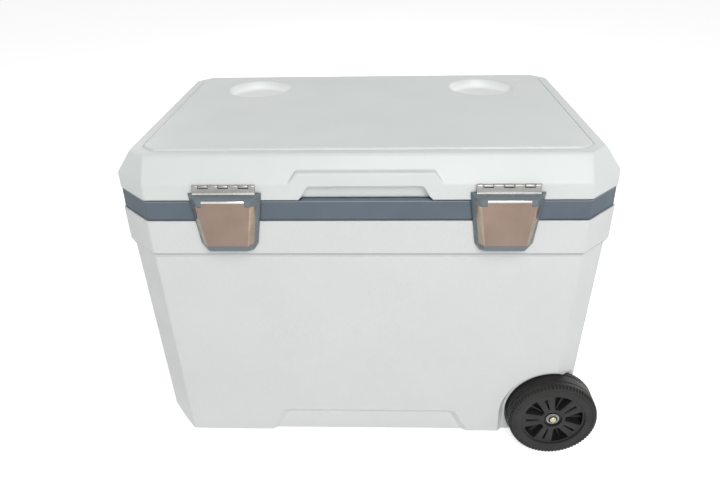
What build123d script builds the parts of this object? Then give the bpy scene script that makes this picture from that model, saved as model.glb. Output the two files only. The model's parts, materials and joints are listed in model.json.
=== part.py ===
from build123d import *
from math import hypot, isclose, radians, sqrt, tan
import os

os.makedirs("parts", exist_ok=True)

# A wheeled, foam-filled cool box.  X runs from the carry-handle end to the wheel end, Y from the
# latch side to the hinge side, Z up.  The origin is on the floor under the middle of the box.

# ---------------------------------------------------------------- body sizes
base_gap = 25.0            # floor to the underside of the box
body_height = 307.4        # underside to the foot of the collar
body_half_x = 303.6        # just under the collar
body_half_y = 202.7
body_corner = 37.0         # leg of the cut corners, seen from above
body_draft = 9.8           # how much each side closes in from the collar to the base
base_corner = 33.8
collar_height = 45.3
collar_step_x = 6.7        # how far the collar stands out of the body
collar_step_y = 5.0
collar_slope = 6.5         # height of the slanted step below the collar
collar_corner = 43.7
collar_draft = 0.5
collar_edge = 1.2          # rounding of the collar's lower edge
base_edge = 2.0            # rounding of the box's lower edge
outer_round = 6.0          # upright corners, outside
inner_round = 4.0          # upright corners, inside
shell_wall = 3.0
band_height = 27.2         # grey rim band between collar and lid
band_inset = 1.8
band_wall = 3.0
band_edge = 1.2            # rounding of the band's upper edge
rim_width_x = 35.6         # outside of the body to the mouth
rim_width_y = 36.7
mouth_corner = 28.0

# ---------------------------------------------------------------- inside sizes
liner_wall = 2.5
liner_draft = 8.0          # how much each side of the liner closes in towards its floor
floor_foam = 33.0          # insulation under the liner
liner_flange = 16.0
step_foam = 20.0           # insulation between the wheel arches and the raised step
end_bevel_run = 44.0       # bevel under the carry-handle end
end_bevel_rise = 24.0
end_bevel_bulge = 3.0

# ---------------------------------------------------------------- front base recess
recess_half_high = 117.6   # floor of the recess, at its top
recess_half_low = 135.3    # the same, at the underside of the box
recess_height = 32.8
recess_depth = 6.5
recess_slope = 54.0        # how far its sides lean outward, degrees
recess_round = 5.0

# ---------------------------------------------------------------- lid sizes
lid_gap = 0.5              # skirt to rim band, all round
lid_skirt = 19.8
lid_rise = 30.8
lid_shoulder = 21.5        # how far the slope brings the top in
lid_top_corner = 21.8
lid_wall = 3.0
lid_collar_inset = 0.4     # the collar stands out this much past the skirt
panel_margin_x = 15.5
panel_margin_y = 12.8
panel_height = 2.0
panel_corner = 15.0
panel_round = 9.0
groove_width = 1.6         # groove round the foot of the panel
groove_depth = 1.0
cup_margin_x = 50.7        # end of the panel to the cup's rim
cup_margin_y = 20.9
cup_radius = 48.7
cup_floor_radius = 42.0
cup_depth = 13.0
notch_half_low = 76.0
notch_half_high = 68.0
notch_height = 17.0
notch_depth = 9.0
notch_corner = 5.0
notch_flare = 4.0          # how far the notch opens out at the foot of the skirt
pad_half_low = 94.0
pad_half_high = 82.0
pad_rise = 14.2            # how far the pad climbs the slope above the crease
pad_round = 2.5            # rounding of the pad's front edges
plug_clearance = 7.0       # lid plug to the mouth, all round
plug_depth = 11.0
gasket_width = 9.0
gasket_height = 3.2
gasket_margin = 12.0       # gasket to the mouth
gasket_gap = 0.3
gasket_bite = 1.5          # how deep the gasket sits in the lid's liner
plug_edge = 1.5
crease_round = 2.4         # rounding along the lid's long edges
crease_cut = 0.4
brow_cut = 1.2
panel_slope = 30.0         # slope of the raised panel's edge, degrees
cup_floor_round = 6.0
cup_lip_round = 2.0

# ---------------------------------------------------------------- wheels and axle
wheel_radius = 62.0
wheel_width = 40.0
wheel_set_in = 41.6        # end of the body to the axle
wheel_shoulder = 2.0       # the tread drops this much at its edges
wheel_edge = 5.0           # width of each dropped edge
rim_radius = 48.0
disc_radius = 44.5         # opening of the tyre's side wall
hub_radius = 13.0
wheel_proud = 2.0          # the wheel's face stands this much outside the collar
disc_recess = 3.5          # wheel face to the spokes
spokes = 5
pocket_inner = 17.5        # fan-shaped pockets between the spokes
pocket_outer = 40.0
pocket_half_inner = 3.5
pocket_half_outer = 13.0
pocket_round = 2.0
pocket_depth = 12.5
pocket_rib = 2.0           # low rib along the middle of each pocket
pocket_rib_drop = 5.5      # spokes down to that rib
first_pocket = 3.0         # degrees
slit_half_inner = 0.8      # narrow slot along the middle of each spoke
slit_half_outer = 2.0
slit_inner = 19.0
slit_outer = 38.0
slit_depth = 8.0
slit_round = 0.5
arch_gap = 12.0            # tyre to the outer arch
arch_depth = 8.0
arch_lean = 37.0           # how far its rim opens outward, degrees
well_gap = 3.0             # tyre to the inner well
well_clearance = 3.2       # tyre to the inner wall of the well
boss_radius = 15.0
axle_radius = 6.0
axle_play = 0.05
tunnel_play = 0.15
tunnel_wall = 3.0
side_play = 0.4
washer_radius = 9.0
washer_thickness = 1.5
hub_bolt_radius = 3.0
hub_bolt_head = 5.6
hub_bolt_dome = 4.5
hub_bolt_round = 1.5
hub_bolt_length = 22.0
hub_set_back = 6.5         # hub face inside the tyre's face
rim_lip = 3.0              # tyre rubber over the rim's edges
web_back = 20.0            # inner face of the wheel to its disc

# ---------------------------------------------------------------- feet
foot_set_in_x = 81.6       # end of the body to the middle of the foot
foot_set_in_y = 84.7
foot_length = 44.0
foot_width = 46.0
foot_round = 8.0
foot_angle = 8.0           # slope of the foot's sides, degrees
foot_edge = 2.0
foot_screw_radius = 2.5
foot_screw_head = 5.0
foot_screw_head_height = 3.0
foot_screw_room = 1.0      # around the screw's head
foot_screw_sink = 8.0
foot_screw_length = 28.0

# ---------------------------------------------------------------- latches
latch_set_in = 142.8       # end of the lid to the middle of the latch
latch_half_top = 44.2
latch_half_low = 35.0
latch_half_bottom = 29.0
latch_top_drop = 9.0       # crease of the lid down to the top of the latch
latch_height = 76.7
latch_corner_rise = 9.0
latch_depth = 13.0
latch_back_gap = 0.6       # back edge of the latch to the hinge leaf behind it
latch_side_bevel = 10.6
latch_top_bevel = 4.7
latch_low_bevel = 4.7
latch_cut_bevel = 9.4
latch_round = 2.0
latch_wall = 3.0
latch_web = 4.0
latch_bar = 12.0           # solid bar at the top that takes the hinge leaf
latch_leaf_bite = 10.5     # how deep the leaf goes into that bar
plate_tab_half = 25.5
plate_tab_top = 5.7        # top of the latch down to the plate's tab
plate_shoulder = 13.2      # top of the latch down to the plate's shoulders
plate_foot = 11.5          # foot of the latch up to the plate
plate_wrap = 7.4           # how far the plate's flanks reach back down the latch's sides
plate_lift = 0.5           # the plate's flanks stand this much out of the latch's sides
plate_proud = 0.8
plate_thickness = 1.2
keeper_half = 18.0
keeper_height = 14.0
keeper_depth = 4.3
keeper_above_lip = 1.0
keeper_bevel = 3.0
lip_half = 14.0
lip_height = 10.0
lip_margin = 1.5           # foot of the latch to its lip
keeper_screw_spread = 11.0

# ---------------------------------------------------------------- leaf hinges
latch_knuckles = (7.5, 11.5, 12.5, 11.5, 12.5, 11.5, 7.5)
latch_knuckle_radius = 2.4
latch_leaf_thickness = 1.0
latch_leaf_reach = 18.0    # crease down to the foot of the lid's leaf
latch_pin_radius = 1.0
latch_axis_drop = 0.9      # the lid's crease down to the hinge axis
rear_hinge_set_in = 144.9
rear_knuckles = (16.0, 14.0, 16.0, 14.0, 16.0)
rear_knuckle_radius = 3.5
rear_leaf_thickness = 1.5
rear_pin_radius = 1.75
rear_leaf_low = 50.0       # reach of the lower leaf below the hinge axis
rear_leaf_high = 17.0
pin_play = 0.05
knuckle_gap = 0.3
leaf_screw_radius = 1.6
leaf_screw_head = 3.0
leaf_screw_spread = 26.0
leaf_screw_head_height = 1.4
rear_screw_low = 9.0       # foot of the lower leaf to its screws
rear_screw_high = 6.0      # head of the upper leaf to its screws
latch_screw_low = 5.0
latch_screw_head = 2.6

# ---------------------------------------------------------------- pull handle at the wheel end
rail_y = 62.0
rail_gap = 0.3             # collar to the outer rail
outer_rail_radius = 6.5
rail_wall = 0.8
rail_play = 0.1
rail_low = 72.0            # floor to the foot of the outer rails
rail_step = 4.0            # each inner stage starts this much higher
rail_show = 6.0            # the middle stage stands this much out of the outer rails
grip_half_y = 76.0
grip_height = 23.0
grip_rise = 17.7           # head of the middle rails to the grip
grip_depth = 13.4
grip_round = 5.0
grip_socket = 12.0
button_half_y = 13.0
button_depth = 7.0
button_height = 9.0
button_proud = 4.0
button_play = 0.3
button_travel = 4.0
button_round = 1.0
bracket_round = 3.0
bracket_half_y = 76.0
upper_bracket_height = 22.0
upper_bracket_drop = 15.0  # collar top down to the bracket's top
lower_bracket_height = 22.0
bracket_floor = 5.0
bracket_screw_spread = 34.0
bracket_screw_radius = 2.5
bracket_screw_head = 4.5
bracket_screw_length = 12.0
bracket_screw_head_height = 2.5
bracket_screw_room = 1.0
lower_bracket_floor = 6.0  # plastic below the rails' feet
bracket_lip = 2.6          # plastic left outside the rails

# ---------------------------------------------------------------- carry handle at the other end
carry_half_span = 58.0     # middle of each arm
carry_arm_width = 9.0
carry_arm_depth = 9.0
carry_eye_radius = 6.0
carry_drop = 72.0
carry_pivot_out = 9.7      # wall to pivot axis
carry_pivot_drop = 20.0    # collar foot to pivot axis
carry_pin_radius = 3.5
carry_bar_radius = 6.0
carry_grip_radius = 9.0
carry_grip_half = 46.0
carry_grip_round = 2.0
carry_ear_width = 9.0
carry_ear_radius = 8.5
carry_plate_thickness = 4.0
carry_plate_half_z = 15.0
carry_plate_extra = 8.0
carry_screw_rise = 8.5
carry_screw_head_height = 2.0
carry_screw_seat = 1.0     # washer face above the plate
carry_side_play = 0.4

# ---------------------------------------------------------------- drain
drain_rise = 13.0          # liner floor to the drain's axis
drain_bore = 8.0
drain_wall = 2.5
drain_flange_radius = 16.0
drain_flange = 3.0
drain_seat = 2.0           # depth of the flat spot that the flange sits in
drain_cap_radius = 13.5
drain_cap = 6.0
drain_cap_round = 1.5
drain_wing = 8.0
drain_wing_length = 23.0
drain_wing_width = 4.0
drain_spigot = 14.0
drain_play = 0.05
seal_radius = 11.2
seal_thickness = 1.6
seal_gap = 0.4             # flange to the cap's seal

# ---------------------------------------------------------------- cuts and fixings
overshoot = 1.0            # cuts run this far past the faces that they open
screw_head_slope = 20.0    # sides of a raised head, degrees
countersink = 45.0
half_turn = 180.0
quarter_turn = 90.0
hexagon = 6

# ---------------------------------------------------------------- levels and places that follow
collar_low = base_gap + body_height
collar_top = collar_low + collar_height
band_top = collar_top + band_height
skirt_low = band_top + lid_gap
crease = skirt_low + lid_skirt
lid_top = crease + lid_rise
collar_half_x = body_half_x + collar_step_x
collar_half_y = body_half_y + collar_step_y
mouth_half_x = body_half_x - rim_width_x
mouth_half_y = body_half_y - rim_width_y
lid_half_x = collar_half_x - lid_collar_inset
lid_half_y = collar_half_y - lid_collar_inset
wheel_x = body_half_x - wheel_set_in
wheel_z = wheel_radius
wheel_outer = collar_half_y + wheel_proud
wheel_inner = wheel_outer - wheel_width
liner_floor = base_gap + shell_wall + floor_foam
well_inner = wheel_inner - well_clearance
step_height = wheel_z + wheel_radius + arch_gap + shell_wall + step_foam
step_x = wheel_x - wheel_radius - arch_gap - step_foam
foot_x = foot_set_in_x - body_half_x
foot_y = body_half_y - foot_set_in_y
latch_x = lid_half_x - latch_set_in
rear_hinge_x = lid_half_x - rear_hinge_set_in


def inset(section, distance):
    half_x, half_y, corner = section
    return half_x - distance, half_y - distance, corner - distance * (2 - sqrt(2))


def outline(section, rounding, mode=Mode.ADD):
    # a rectangle with cut corners and every angle rounded
    half_x, half_y, corner = section
    with BuildSketch(mode=Mode.PRIVATE) as plain:
        Rectangle(2 * half_x, 2 * half_y)
        chamfer(vertices(), length=corner)
        fillet(vertices(), radius=rounding)
    add(plain.sketch, mode=mode)


def true_planes(block):
    # gives each flat side of a ruled loft as a true plane, which other cuts cross cleanly
    sides = []
    for side in block.faces():
        wire = side.outer_wire()
        flat = all(isclose(edge.length, (edge @ 1 - edge @ 0).length) for edge in wire.edges())
        sides.append(Face(wire) if flat else side)
    return Part([Solid(Shell(sides))])


def stack(levels, rounding):
    # a ruled solid through cut-cornered outlines, given as (height, section)
    with BuildPart() as block:
        for height, section in levels:
            with BuildSketch(Plane.XY.offset(height)):
                outline(section, rounding)
        loft(ruled=True)
    return true_planes(block.part)


def save(piece, name):
    piece.part.label = name
    export_step(piece.part, f"parts/{name}.step")


base_section = (body_half_x - body_draft, body_half_y - body_draft, base_corner)
body_section = (body_half_x, body_half_y, body_corner)
collar_section = (collar_half_x, collar_half_y, collar_corner)
band_section = inset(collar_section, band_inset)
mouth_section = (mouth_half_x, mouth_half_y, mouth_corner)
skirt_section = (lid_half_x, lid_half_y, collar_corner)

# ---------------------------------------------------------------- forms that pieces share
outer_form = stack([
    (base_gap, inset(base_section, base_edge)),
    (base_gap + base_edge, base_section),
    (collar_low - collar_slope, body_section),
    (collar_low - collar_edge, inset(collar_section, collar_draft + collar_edge)),
    (collar_low + collar_edge, inset(collar_section, collar_draft)),
    (collar_top, collar_section),
], outer_round)
hollow_form = stack([
    (base_gap + shell_wall, inset(base_section, shell_wall)),
    (collar_low - collar_slope + shell_wall, inset(body_section, shell_wall)),
    (collar_low + collar_edge + shell_wall, inset(collar_section, collar_draft + shell_wall)),
    (collar_top, inset(collar_section, shell_wall)),
], inner_round)
liner_top = band_top - band_wall
liner_form = stack([
    (liner_floor - liner_wall, inset(mouth_section, liner_draft - liner_wall)),
    (liner_top, inset(mouth_section, -liner_wall)),
], inner_round + liner_wall)
cavity_form = stack([
    (liner_floor, inset(mouth_section, liner_draft)),
    (band_top, mouth_section),
], inner_round)


def wall_at(half, height):
    # half size of the tapered body at a height above the floor
    return half - body_draft * (1 - (height - base_gap) / body_height)


def end_bevel(extra):
    # the wedge taken off under the carry-handle end, with a slightly bulging face
    foot_half_x = body_half_x - body_draft
    start_x = -foot_half_x - overshoot
    start_z = base_gap + end_bevel_rise + extra
    stop_x = -foot_half_x + end_bevel_run + extra
    middle_x = (start_x + stop_x) / 2 - end_bevel_bulge
    middle_z = (start_z + base_gap) / 2 - end_bevel_bulge
    with BuildPart() as wedge:
        with BuildSketch(Plane.XZ.offset(-body_half_y)):
            with BuildLine():
                ThreePointArc((start_x, start_z), (middle_x, middle_z), (stop_x, base_gap))
                Polyline(
                    (stop_x, base_gap),
                    (stop_x, 0),
                    (-collar_half_x, 0),
                    (-collar_half_x, start_z),
                    (start_x, start_z),
                )
            make_face()
        extrude(amount=2 * body_half_y)
    return wedge.part


def base_recess(grow):
    # the shallow trapezoid pressed into the front, open at the underside, with leaning sides
    flare = (recess_half_low - recess_half_high) / recess_height
    below = recess_depth + grow + overshoot
    half_low = recess_half_low + grow + flare * below
    high = recess_height + grow
    floor = Plane(origin=(0, body_draft - body_half_y + recess_depth + grow, base_gap),
                  x_dir=(1, 0, 0), z_dir=(0, -body_height, -body_draft))
    with BuildPart() as recess:
        with BuildSketch(floor):
            with BuildLine():
                Polyline(
                    (-half_low, -below),
                    (half_low, -below),
                    (recess_half_high + grow, high),
                    (-recess_half_high - grow, high),
                    close=True,
                )
            make_face()
            fillet(vertices().group_by(Axis.Y)[-1], radius=recess_round)
        extrude(amount=recess_depth + grow + overshoot, taper=-recess_slope)
    return recess.part


def arch_block(radius, near, far, straight, lean=0):
    # a round wheel space about the axle, which may run straight down on its inner side and
    # open out towards the wheel's face
    with BuildPart() as block:
        with BuildSketch(Plane.XZ.offset(near)):
            with Locations((wheel_x, wheel_z)):
                Circle(radius)
            with Locations((wheel_x - radius if straight else wheel_x, 0)):
                Rectangle(collar_half_x, wheel_z, align=(Align.MIN, Align.MIN))
        extrude(amount=far - near, taper=-lean)
        mirror(about=Plane.XZ)
    return block.part


def round_bar(radius, start, end):
    # a plain round bar between two points
    line = Vector(*end) - Vector(*start)
    with BuildPart() as bar:
        with BuildSketch(Plane(origin=start, z_dir=line)):
            Circle(radius)
        extrude(amount=line.length)
    return bar.part


def screw(point, into, shank, length, head, head_height, flush):
    # a screw whose head sits on the point, or sinks flush into it, driven along a direction
    with BuildPart() as piece:
        with BuildSketch(Plane(origin=point, z_dir=into)):
            Circle(shank)
        extrude(amount=length)
        if flush:
            with BuildSketch(Plane(origin=point, z_dir=into)):
                Circle(head)
            extrude(amount=head - shank, taper=countersink)
        else:
            with BuildSketch(Plane(origin=point, z_dir=into)):
                Circle(head)
            extrude(amount=-head_height, taper=screw_head_slope)
    return piece.part


# ---------------------------------------------------------------- fixings that cut their holes
arch_radius = wheel_radius + arch_gap - arch_depth * tan(radians(arch_lean))
well_radius = wheel_radius + well_gap
arch_floor = body_half_y - body_draft - arch_depth
tunnel_radius = axle_radius + tunnel_play
drain_z = liner_floor + drain_rise
drain_outer = drain_bore + drain_wall
drain_wall_x = -wall_at(body_half_x, drain_z)
rail_x = collar_half_x + rail_gap + outer_rail_radius
bracket_outer_x = rail_x + outer_rail_radius + bracket_lip
upper_bracket_top = collar_top - upper_bracket_drop
upper_bracket_z = upper_bracket_top - upper_bracket_height / 2
lower_bracket_z = rail_low - lower_bracket_floor + lower_bracket_height / 2
carry_pivot_z = collar_low - carry_pivot_drop
carry_pivot_x = -wall_at(body_half_x, carry_pivot_z) - carry_pivot_out
carry_ear_y = carry_half_span + carry_arm_width / 2 + carry_side_play + carry_ear_width / 2
latch_top = crease - latch_top_drop
latch_bottom = latch_top - latch_height
latch_axis_y = -lid_half_y - latch_knuckle_radius - knuckle_gap
latch_axis_z = crease - latch_axis_drop
latch_back = lid_half_y + latch_leaf_thickness + latch_back_gap
latch_front = latch_back + latch_depth
keeper_low = latch_bottom + lip_margin + lip_height + keeper_above_lip
rear_axis_y = collar_half_y + rear_knuckle_radius
rear_axis_z = (band_top + skirt_low) / 2

with BuildPart() as foot_screws:
    for side in (-1, 1):
        add(screw((foot_x, side * foot_y, foot_screw_sink), (0, 0, 1), foot_screw_radius,
                  foot_screw_length, foot_screw_head, foot_screw_head_height, False))

with BuildPart() as keeper_screws:
    for centre in (-latch_x, latch_x):
        for along in (-keeper_screw_spread, keeper_screw_spread):
            add(screw((centre + along, -collar_half_y - keeper_depth, keeper_low + keeper_height / 2),
                      (0, 1, 0), leaf_screw_radius, keeper_depth + shell_wall - collar_draft,
                      leaf_screw_head, 0, True))

with BuildPart() as bracket_screws:
    for height, wall in ((upper_bracket_z, collar_half_x),
                         (lower_bracket_z, wall_at(body_half_x, lower_bracket_z))):
        for side in (-1, 1):
            add(screw((wall + bracket_floor, side * bracket_screw_spread, height), (-1, 0, 0),
                      bracket_screw_radius, bracket_screw_length, bracket_screw_head,
                      bracket_screw_head_height, False))

with BuildPart() as carry_screws:
    for side in (-1, 1):
        for up in (-1, 1):
            add(screw((carry_pivot_x + carry_pivot_out - carry_plate_thickness - carry_screw_seat,
                       side * (carry_ear_y + carry_ear_width + carry_plate_extra / 2),
                       carry_pivot_z + up * carry_screw_rise),
                      (1, 0, 0), bracket_screw_radius, bracket_screw_length,
                      bracket_screw_head, carry_screw_head_height, False))

with BuildPart() as rear_body_screws:
    for centre in (-rear_hinge_x, rear_hinge_x):
        for along in (-leaf_screw_spread, 0, leaf_screw_spread):
            add(screw((centre + along, collar_half_y + rear_leaf_thickness,
                       rear_axis_z - rear_leaf_low + rear_screw_low), (0, -1, 0),
                      leaf_screw_radius, rear_leaf_thickness + shell_wall, leaf_screw_head,
                      leaf_screw_head_height, False))

with BuildPart() as rear_lid_screws:
    for centre in (-rear_hinge_x, rear_hinge_x):
        for along in (-leaf_screw_spread, 0, leaf_screw_spread):
            add(screw((centre + along, lid_half_y + rear_leaf_thickness,
                       rear_axis_z + rear_leaf_high - rear_screw_high), (0, -1, 0),
                      leaf_screw_radius, rear_leaf_thickness + lid_wall, leaf_screw_head,
                      leaf_screw_head_height, False))

with BuildPart() as latch_leaf_screws:
    for centre in (-latch_x, latch_x):
        for along in (-leaf_screw_spread, 0, leaf_screw_spread):
            add(screw((centre + along, -lid_half_y - latch_leaf_thickness,
                       crease - latch_leaf_reach + latch_screw_low), (0, 1, 0),
                      leaf_screw_radius, latch_leaf_thickness + lid_wall, latch_screw_head,
                      0, True))

# ---------------------------------------------------------------- shell, foam, liner and rim
with BuildPart() as hollow:
    # the space inside the shell's skin
    add(hollow_form)
    add(arch_block(arch_radius + shell_wall, arch_floor - shell_wall, wheel_outer, True,
                   arch_lean), mode=Mode.SUBTRACT)
    add(arch_block(well_radius + shell_wall, well_inner - shell_wall, wheel_outer, False),
        mode=Mode.SUBTRACT)
    add(base_recess(shell_wall), mode=Mode.SUBTRACT)
    add(end_bevel(2 * shell_wall), mode=Mode.SUBTRACT)
    add(round_bar(tunnel_radius + tunnel_wall, (wheel_x, -body_half_y, wheel_z),
                  (wheel_x, body_half_y, wheel_z)), mode=Mode.SUBTRACT)

drain_tunnel = round_bar(drain_outer, (drain_wall_x - shell_wall, 0, drain_z),
                         (-mouth_half_x + 2 * liner_draft, 0, drain_z))
axle_tunnel = round_bar(tunnel_radius, (wheel_x, -body_half_y, wheel_z),
                        (wheel_x, body_half_y, wheel_z))

with BuildPart() as outer_shell:
    add(outer_form)
    add(arch_block(arch_radius, arch_floor, wheel_outer, True, arch_lean), mode=Mode.SUBTRACT)
    add(arch_block(well_radius, well_inner, wheel_outer, False), mode=Mode.SUBTRACT)
    add(base_recess(0), mode=Mode.SUBTRACT)
    add(end_bevel(0), mode=Mode.SUBTRACT)
    for side in (-1, 1):
        add(round_bar(boss_radius, (wheel_x, side * (well_inner - shell_wall), wheel_z),
                      (wheel_x, side * (wheel_inner - side_play), wheel_z)))
    add(hollow.part, mode=Mode.SUBTRACT)
    add(axle_tunnel, mode=Mode.SUBTRACT)
    add(drain_tunnel, mode=Mode.SUBTRACT)
    add(round_bar(drain_flange_radius, (drain_wall_x + drain_seat, 0, drain_z),
                  (drain_wall_x - body_draft, 0, drain_z)), mode=Mode.SUBTRACT)
    for fixing in (foot_screws, keeper_screws, bracket_screws, carry_screws, rear_body_screws):
        add(fixing.part, mode=Mode.SUBTRACT)
save(outer_shell, "outer_shell")

with BuildPart() as liner_envelope:
    # everything the liner takes up, cavity included
    add(liner_form)
    with Locations((step_x, 0, 0)):
        Box(mouth_half_x, 2 * body_half_y, step_height - liner_wall,
            align=(Align.MIN, Align.CENTER, Align.MIN), mode=Mode.SUBTRACT)
    with BuildSketch(Plane.XY.offset(liner_top - liner_wall)):
        outline(inset(mouth_section, -liner_flange), outer_round)
    extrude(amount=liner_wall)

with BuildPart() as cavity:
    add(cavity_form)
    with Locations((step_x - liner_wall, 0, 0)):
        Box(mouth_half_x, 2 * mouth_half_y, step_height,
            align=(Align.MIN, Align.CENTER, Align.MIN), mode=Mode.SUBTRACT)

with BuildPart() as inner_liner:
    add(liner_envelope.part)
    add(cavity.part, mode=Mode.SUBTRACT)
    add(drain_tunnel, mode=Mode.SUBTRACT)
save(inner_liner, "inner_liner")

with BuildPart() as wall_foam:
    add(hollow.part)
    with BuildSketch(Plane.XY.offset(collar_top)):
        outline(inset(band_section, band_wall), inner_round)
    extrude(amount=liner_top - collar_top)
    add(liner_envelope.part, mode=Mode.SUBTRACT)
    add(drain_tunnel, mode=Mode.SUBTRACT)
    for fixing in (foot_screws, bracket_screws, carry_screws):
        add(fixing.part, mode=Mode.SUBTRACT)
save(wall_foam, "wall_foam")

with BuildPart() as rim_band:
    add(stack([
        (collar_top, band_section),
        (band_top - band_edge, band_section),
        (band_top, inset(band_section, band_edge)),
    ], outer_round))
    with BuildSketch(Plane.XY.offset(collar_top)):
        outline(inset(band_section, band_wall), inner_round)
    extrude(amount=liner_top - collar_top, mode=Mode.SUBTRACT)
    with BuildSketch(Plane.XY.offset(liner_top)):
        outline(mouth_section, inner_round)
    extrude(amount=band_wall, mode=Mode.SUBTRACT)
save(rim_band, "rim_band")

# ---------------------------------------------------------------- feet
with BuildPart() as rubber_feet:
    for side in (-1, 1):
        with BuildSketch(Plane.XY.offset(base_gap)):
            with Locations((foot_x, side * foot_y)):
                RectangleRounded(foot_length, foot_width, foot_round)
        extrude(amount=-base_gap, taper=foot_angle)
    chamfer(faces().group_by(Axis.Z)[0].edges(), length=foot_edge)
    for side in (-1, 1):
        with Locations((foot_x, side * foot_y, 0)):
            Cylinder(foot_screw_head + foot_screw_room, foot_screw_sink,
                     align=(Align.CENTER, Align.CENTER, Align.MIN), mode=Mode.SUBTRACT)
            Cylinder(foot_screw_radius, base_gap,
                     align=(Align.CENTER, Align.CENTER, Align.MIN), mode=Mode.SUBTRACT)
save(rubber_feet, "rubber_feet")
save(foot_screws, "foot_screws")

# ---------------------------------------------------------------- axle and wheels
hub_face = wheel_outer - hub_set_back
axle_end = hub_face + side_play

with BuildPart() as axle:
    add(round_bar(axle_radius, (wheel_x, -axle_end, wheel_z), (wheel_x, axle_end, wheel_z)))
    for side in (-1, 1):
        add(round_bar(hub_bolt_radius, (wheel_x, side * axle_end, wheel_z),
                      (wheel_x, side * (axle_end - hub_bolt_length), wheel_z)),
            mode=Mode.SUBTRACT)
save(axle, "axle")

with BuildPart() as axle_washers:
    for side in (-1, 1):
        inner = (wheel_x, side * axle_end, wheel_z)
        outer = (wheel_x, side * (axle_end + washer_thickness), wheel_z)
        add(round_bar(washer_radius, inner, outer))
        add(round_bar(hub_bolt_radius, inner, outer), mode=Mode.SUBTRACT)
save(axle_washers, "axle_washers")

with BuildPart() as axle_bolts:
    for side in (-1, 1):
        seat = axle_end + washer_thickness
        add(round_bar(hub_bolt_radius, (wheel_x, side * seat, wheel_z),
                      (wheel_x, side * (axle_end - hub_bolt_length), wheel_z)))
        with BuildSketch(Plane(origin=(wheel_x, side * seat, wheel_z), z_dir=(0, side, 0))):
            RegularPolygon(hub_bolt_head, hexagon)
        extrude(amount=hub_bolt_dome)
    fillet(faces().sort_by(Axis.Y)[0].edges() + faces().sort_by(Axis.Y)[-1].edges(),
           radius=hub_bolt_round)
save(axle_bolts, "axle_bolts")

wheel_axis = Axis((wheel_x, 0, wheel_z), (0, 1, 0))
disc_face = wheel_outer - disc_recess


def fan_opening(start, stop, half_start, half_stop, rounding):
    # an opening that widens outward from the hub and ends in an arc about the axle
    with BuildSketch(mode=Mode.PRIVATE) as opening:
        with BuildLine():
            Polyline((stop, half_stop), (start, half_start), (start, -half_start),
                     (stop, -half_stop))
            ThreePointArc((stop, -half_stop), (hypot(stop, half_stop), 0), (stop, half_stop))
        make_face()
        fillet(vertices(), radius=rounding)
    return opening.sketch


def wheel_profile(*points):
    # revolves a (radius, distance from the middle plane) outline about the axle, latch side
    with BuildPart() as ring:
        with BuildSketch(Plane.XY.offset(wheel_z)):
            with BuildLine():
                Polyline([(wheel_x + radius, -away) for radius, away in points], close=True)
            make_face()
        revolve(axis=wheel_axis)
    return ring.part


with BuildPart() as wheel_front_hub:
    add(wheel_profile(
        (axle_radius + axle_play, wheel_inner),
        (hub_radius, wheel_inner),
        (hub_radius, wheel_inner + web_back),
        (disc_radius - rim_lip, wheel_inner + web_back),
        (disc_radius, wheel_inner + rim_lip),
        (rim_radius, wheel_inner + rim_lip),
        (rim_radius, wheel_outer - rim_lip),
        (disc_radius, wheel_outer - rim_lip),
        (disc_radius - rim_lip, disc_face),
        (hub_radius, disc_face),
        (hub_radius, hub_face),
        (axle_radius + axle_play, hub_face),
    ))
    pocket = fan_opening(pocket_inner, pocket_outer, pocket_half_inner, pocket_half_outer,
                         pocket_round)
    slit = fan_opening(slit_inner, slit_outer, slit_half_inner, slit_half_outer, slit_round)
    for opening, depth, first in ((pocket, pocket_depth, first_pocket),
                                  (slit, slit_depth, first_pocket + half_turn / spokes)):
        with BuildSketch(Plane.XZ.offset(disc_face)):
            with Locations((wheel_x, wheel_z)):
                with PolarLocations(0, spokes, first):
                    add(opening)
        extrude(amount=-depth, mode=Mode.SUBTRACT)
    with BuildSketch(Plane.XZ.offset(disc_face - pocket_depth)):
        with Locations((wheel_x, wheel_z)):
            with PolarLocations((pocket_inner + pocket_outer) / 2, spokes, first_pocket):
                Rectangle(pocket_outer - pocket_inner + 2 * overshoot, pocket_rib)
    extrude(amount=pocket_depth - pocket_rib_drop)
save(wheel_front_hub, "wheel_front_hub")

with BuildPart() as wheel_front_tyre:
    add(wheel_profile(
        (disc_radius, wheel_inner),
        (wheel_radius - wheel_shoulder, wheel_inner),
        (wheel_radius, wheel_inner + wheel_edge),
        (wheel_radius, wheel_outer - wheel_edge),
        (wheel_radius - wheel_shoulder, wheel_outer),
        (disc_radius, wheel_outer),
        (disc_radius, wheel_outer - rim_lip),
        (rim_radius, wheel_outer - rim_lip),
        (rim_radius, wheel_inner + rim_lip),
        (disc_radius, wheel_inner + rim_lip),
    ))
save(wheel_front_tyre, "wheel_front_tyre")

for source, name in ((wheel_front_hub, "wheel_rear_hub"), (wheel_front_tyre, "wheel_rear_tyre")):
    with BuildPart() as twin:
        mirror(source.part, about=Plane.XZ)
    save(twin, name)


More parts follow.
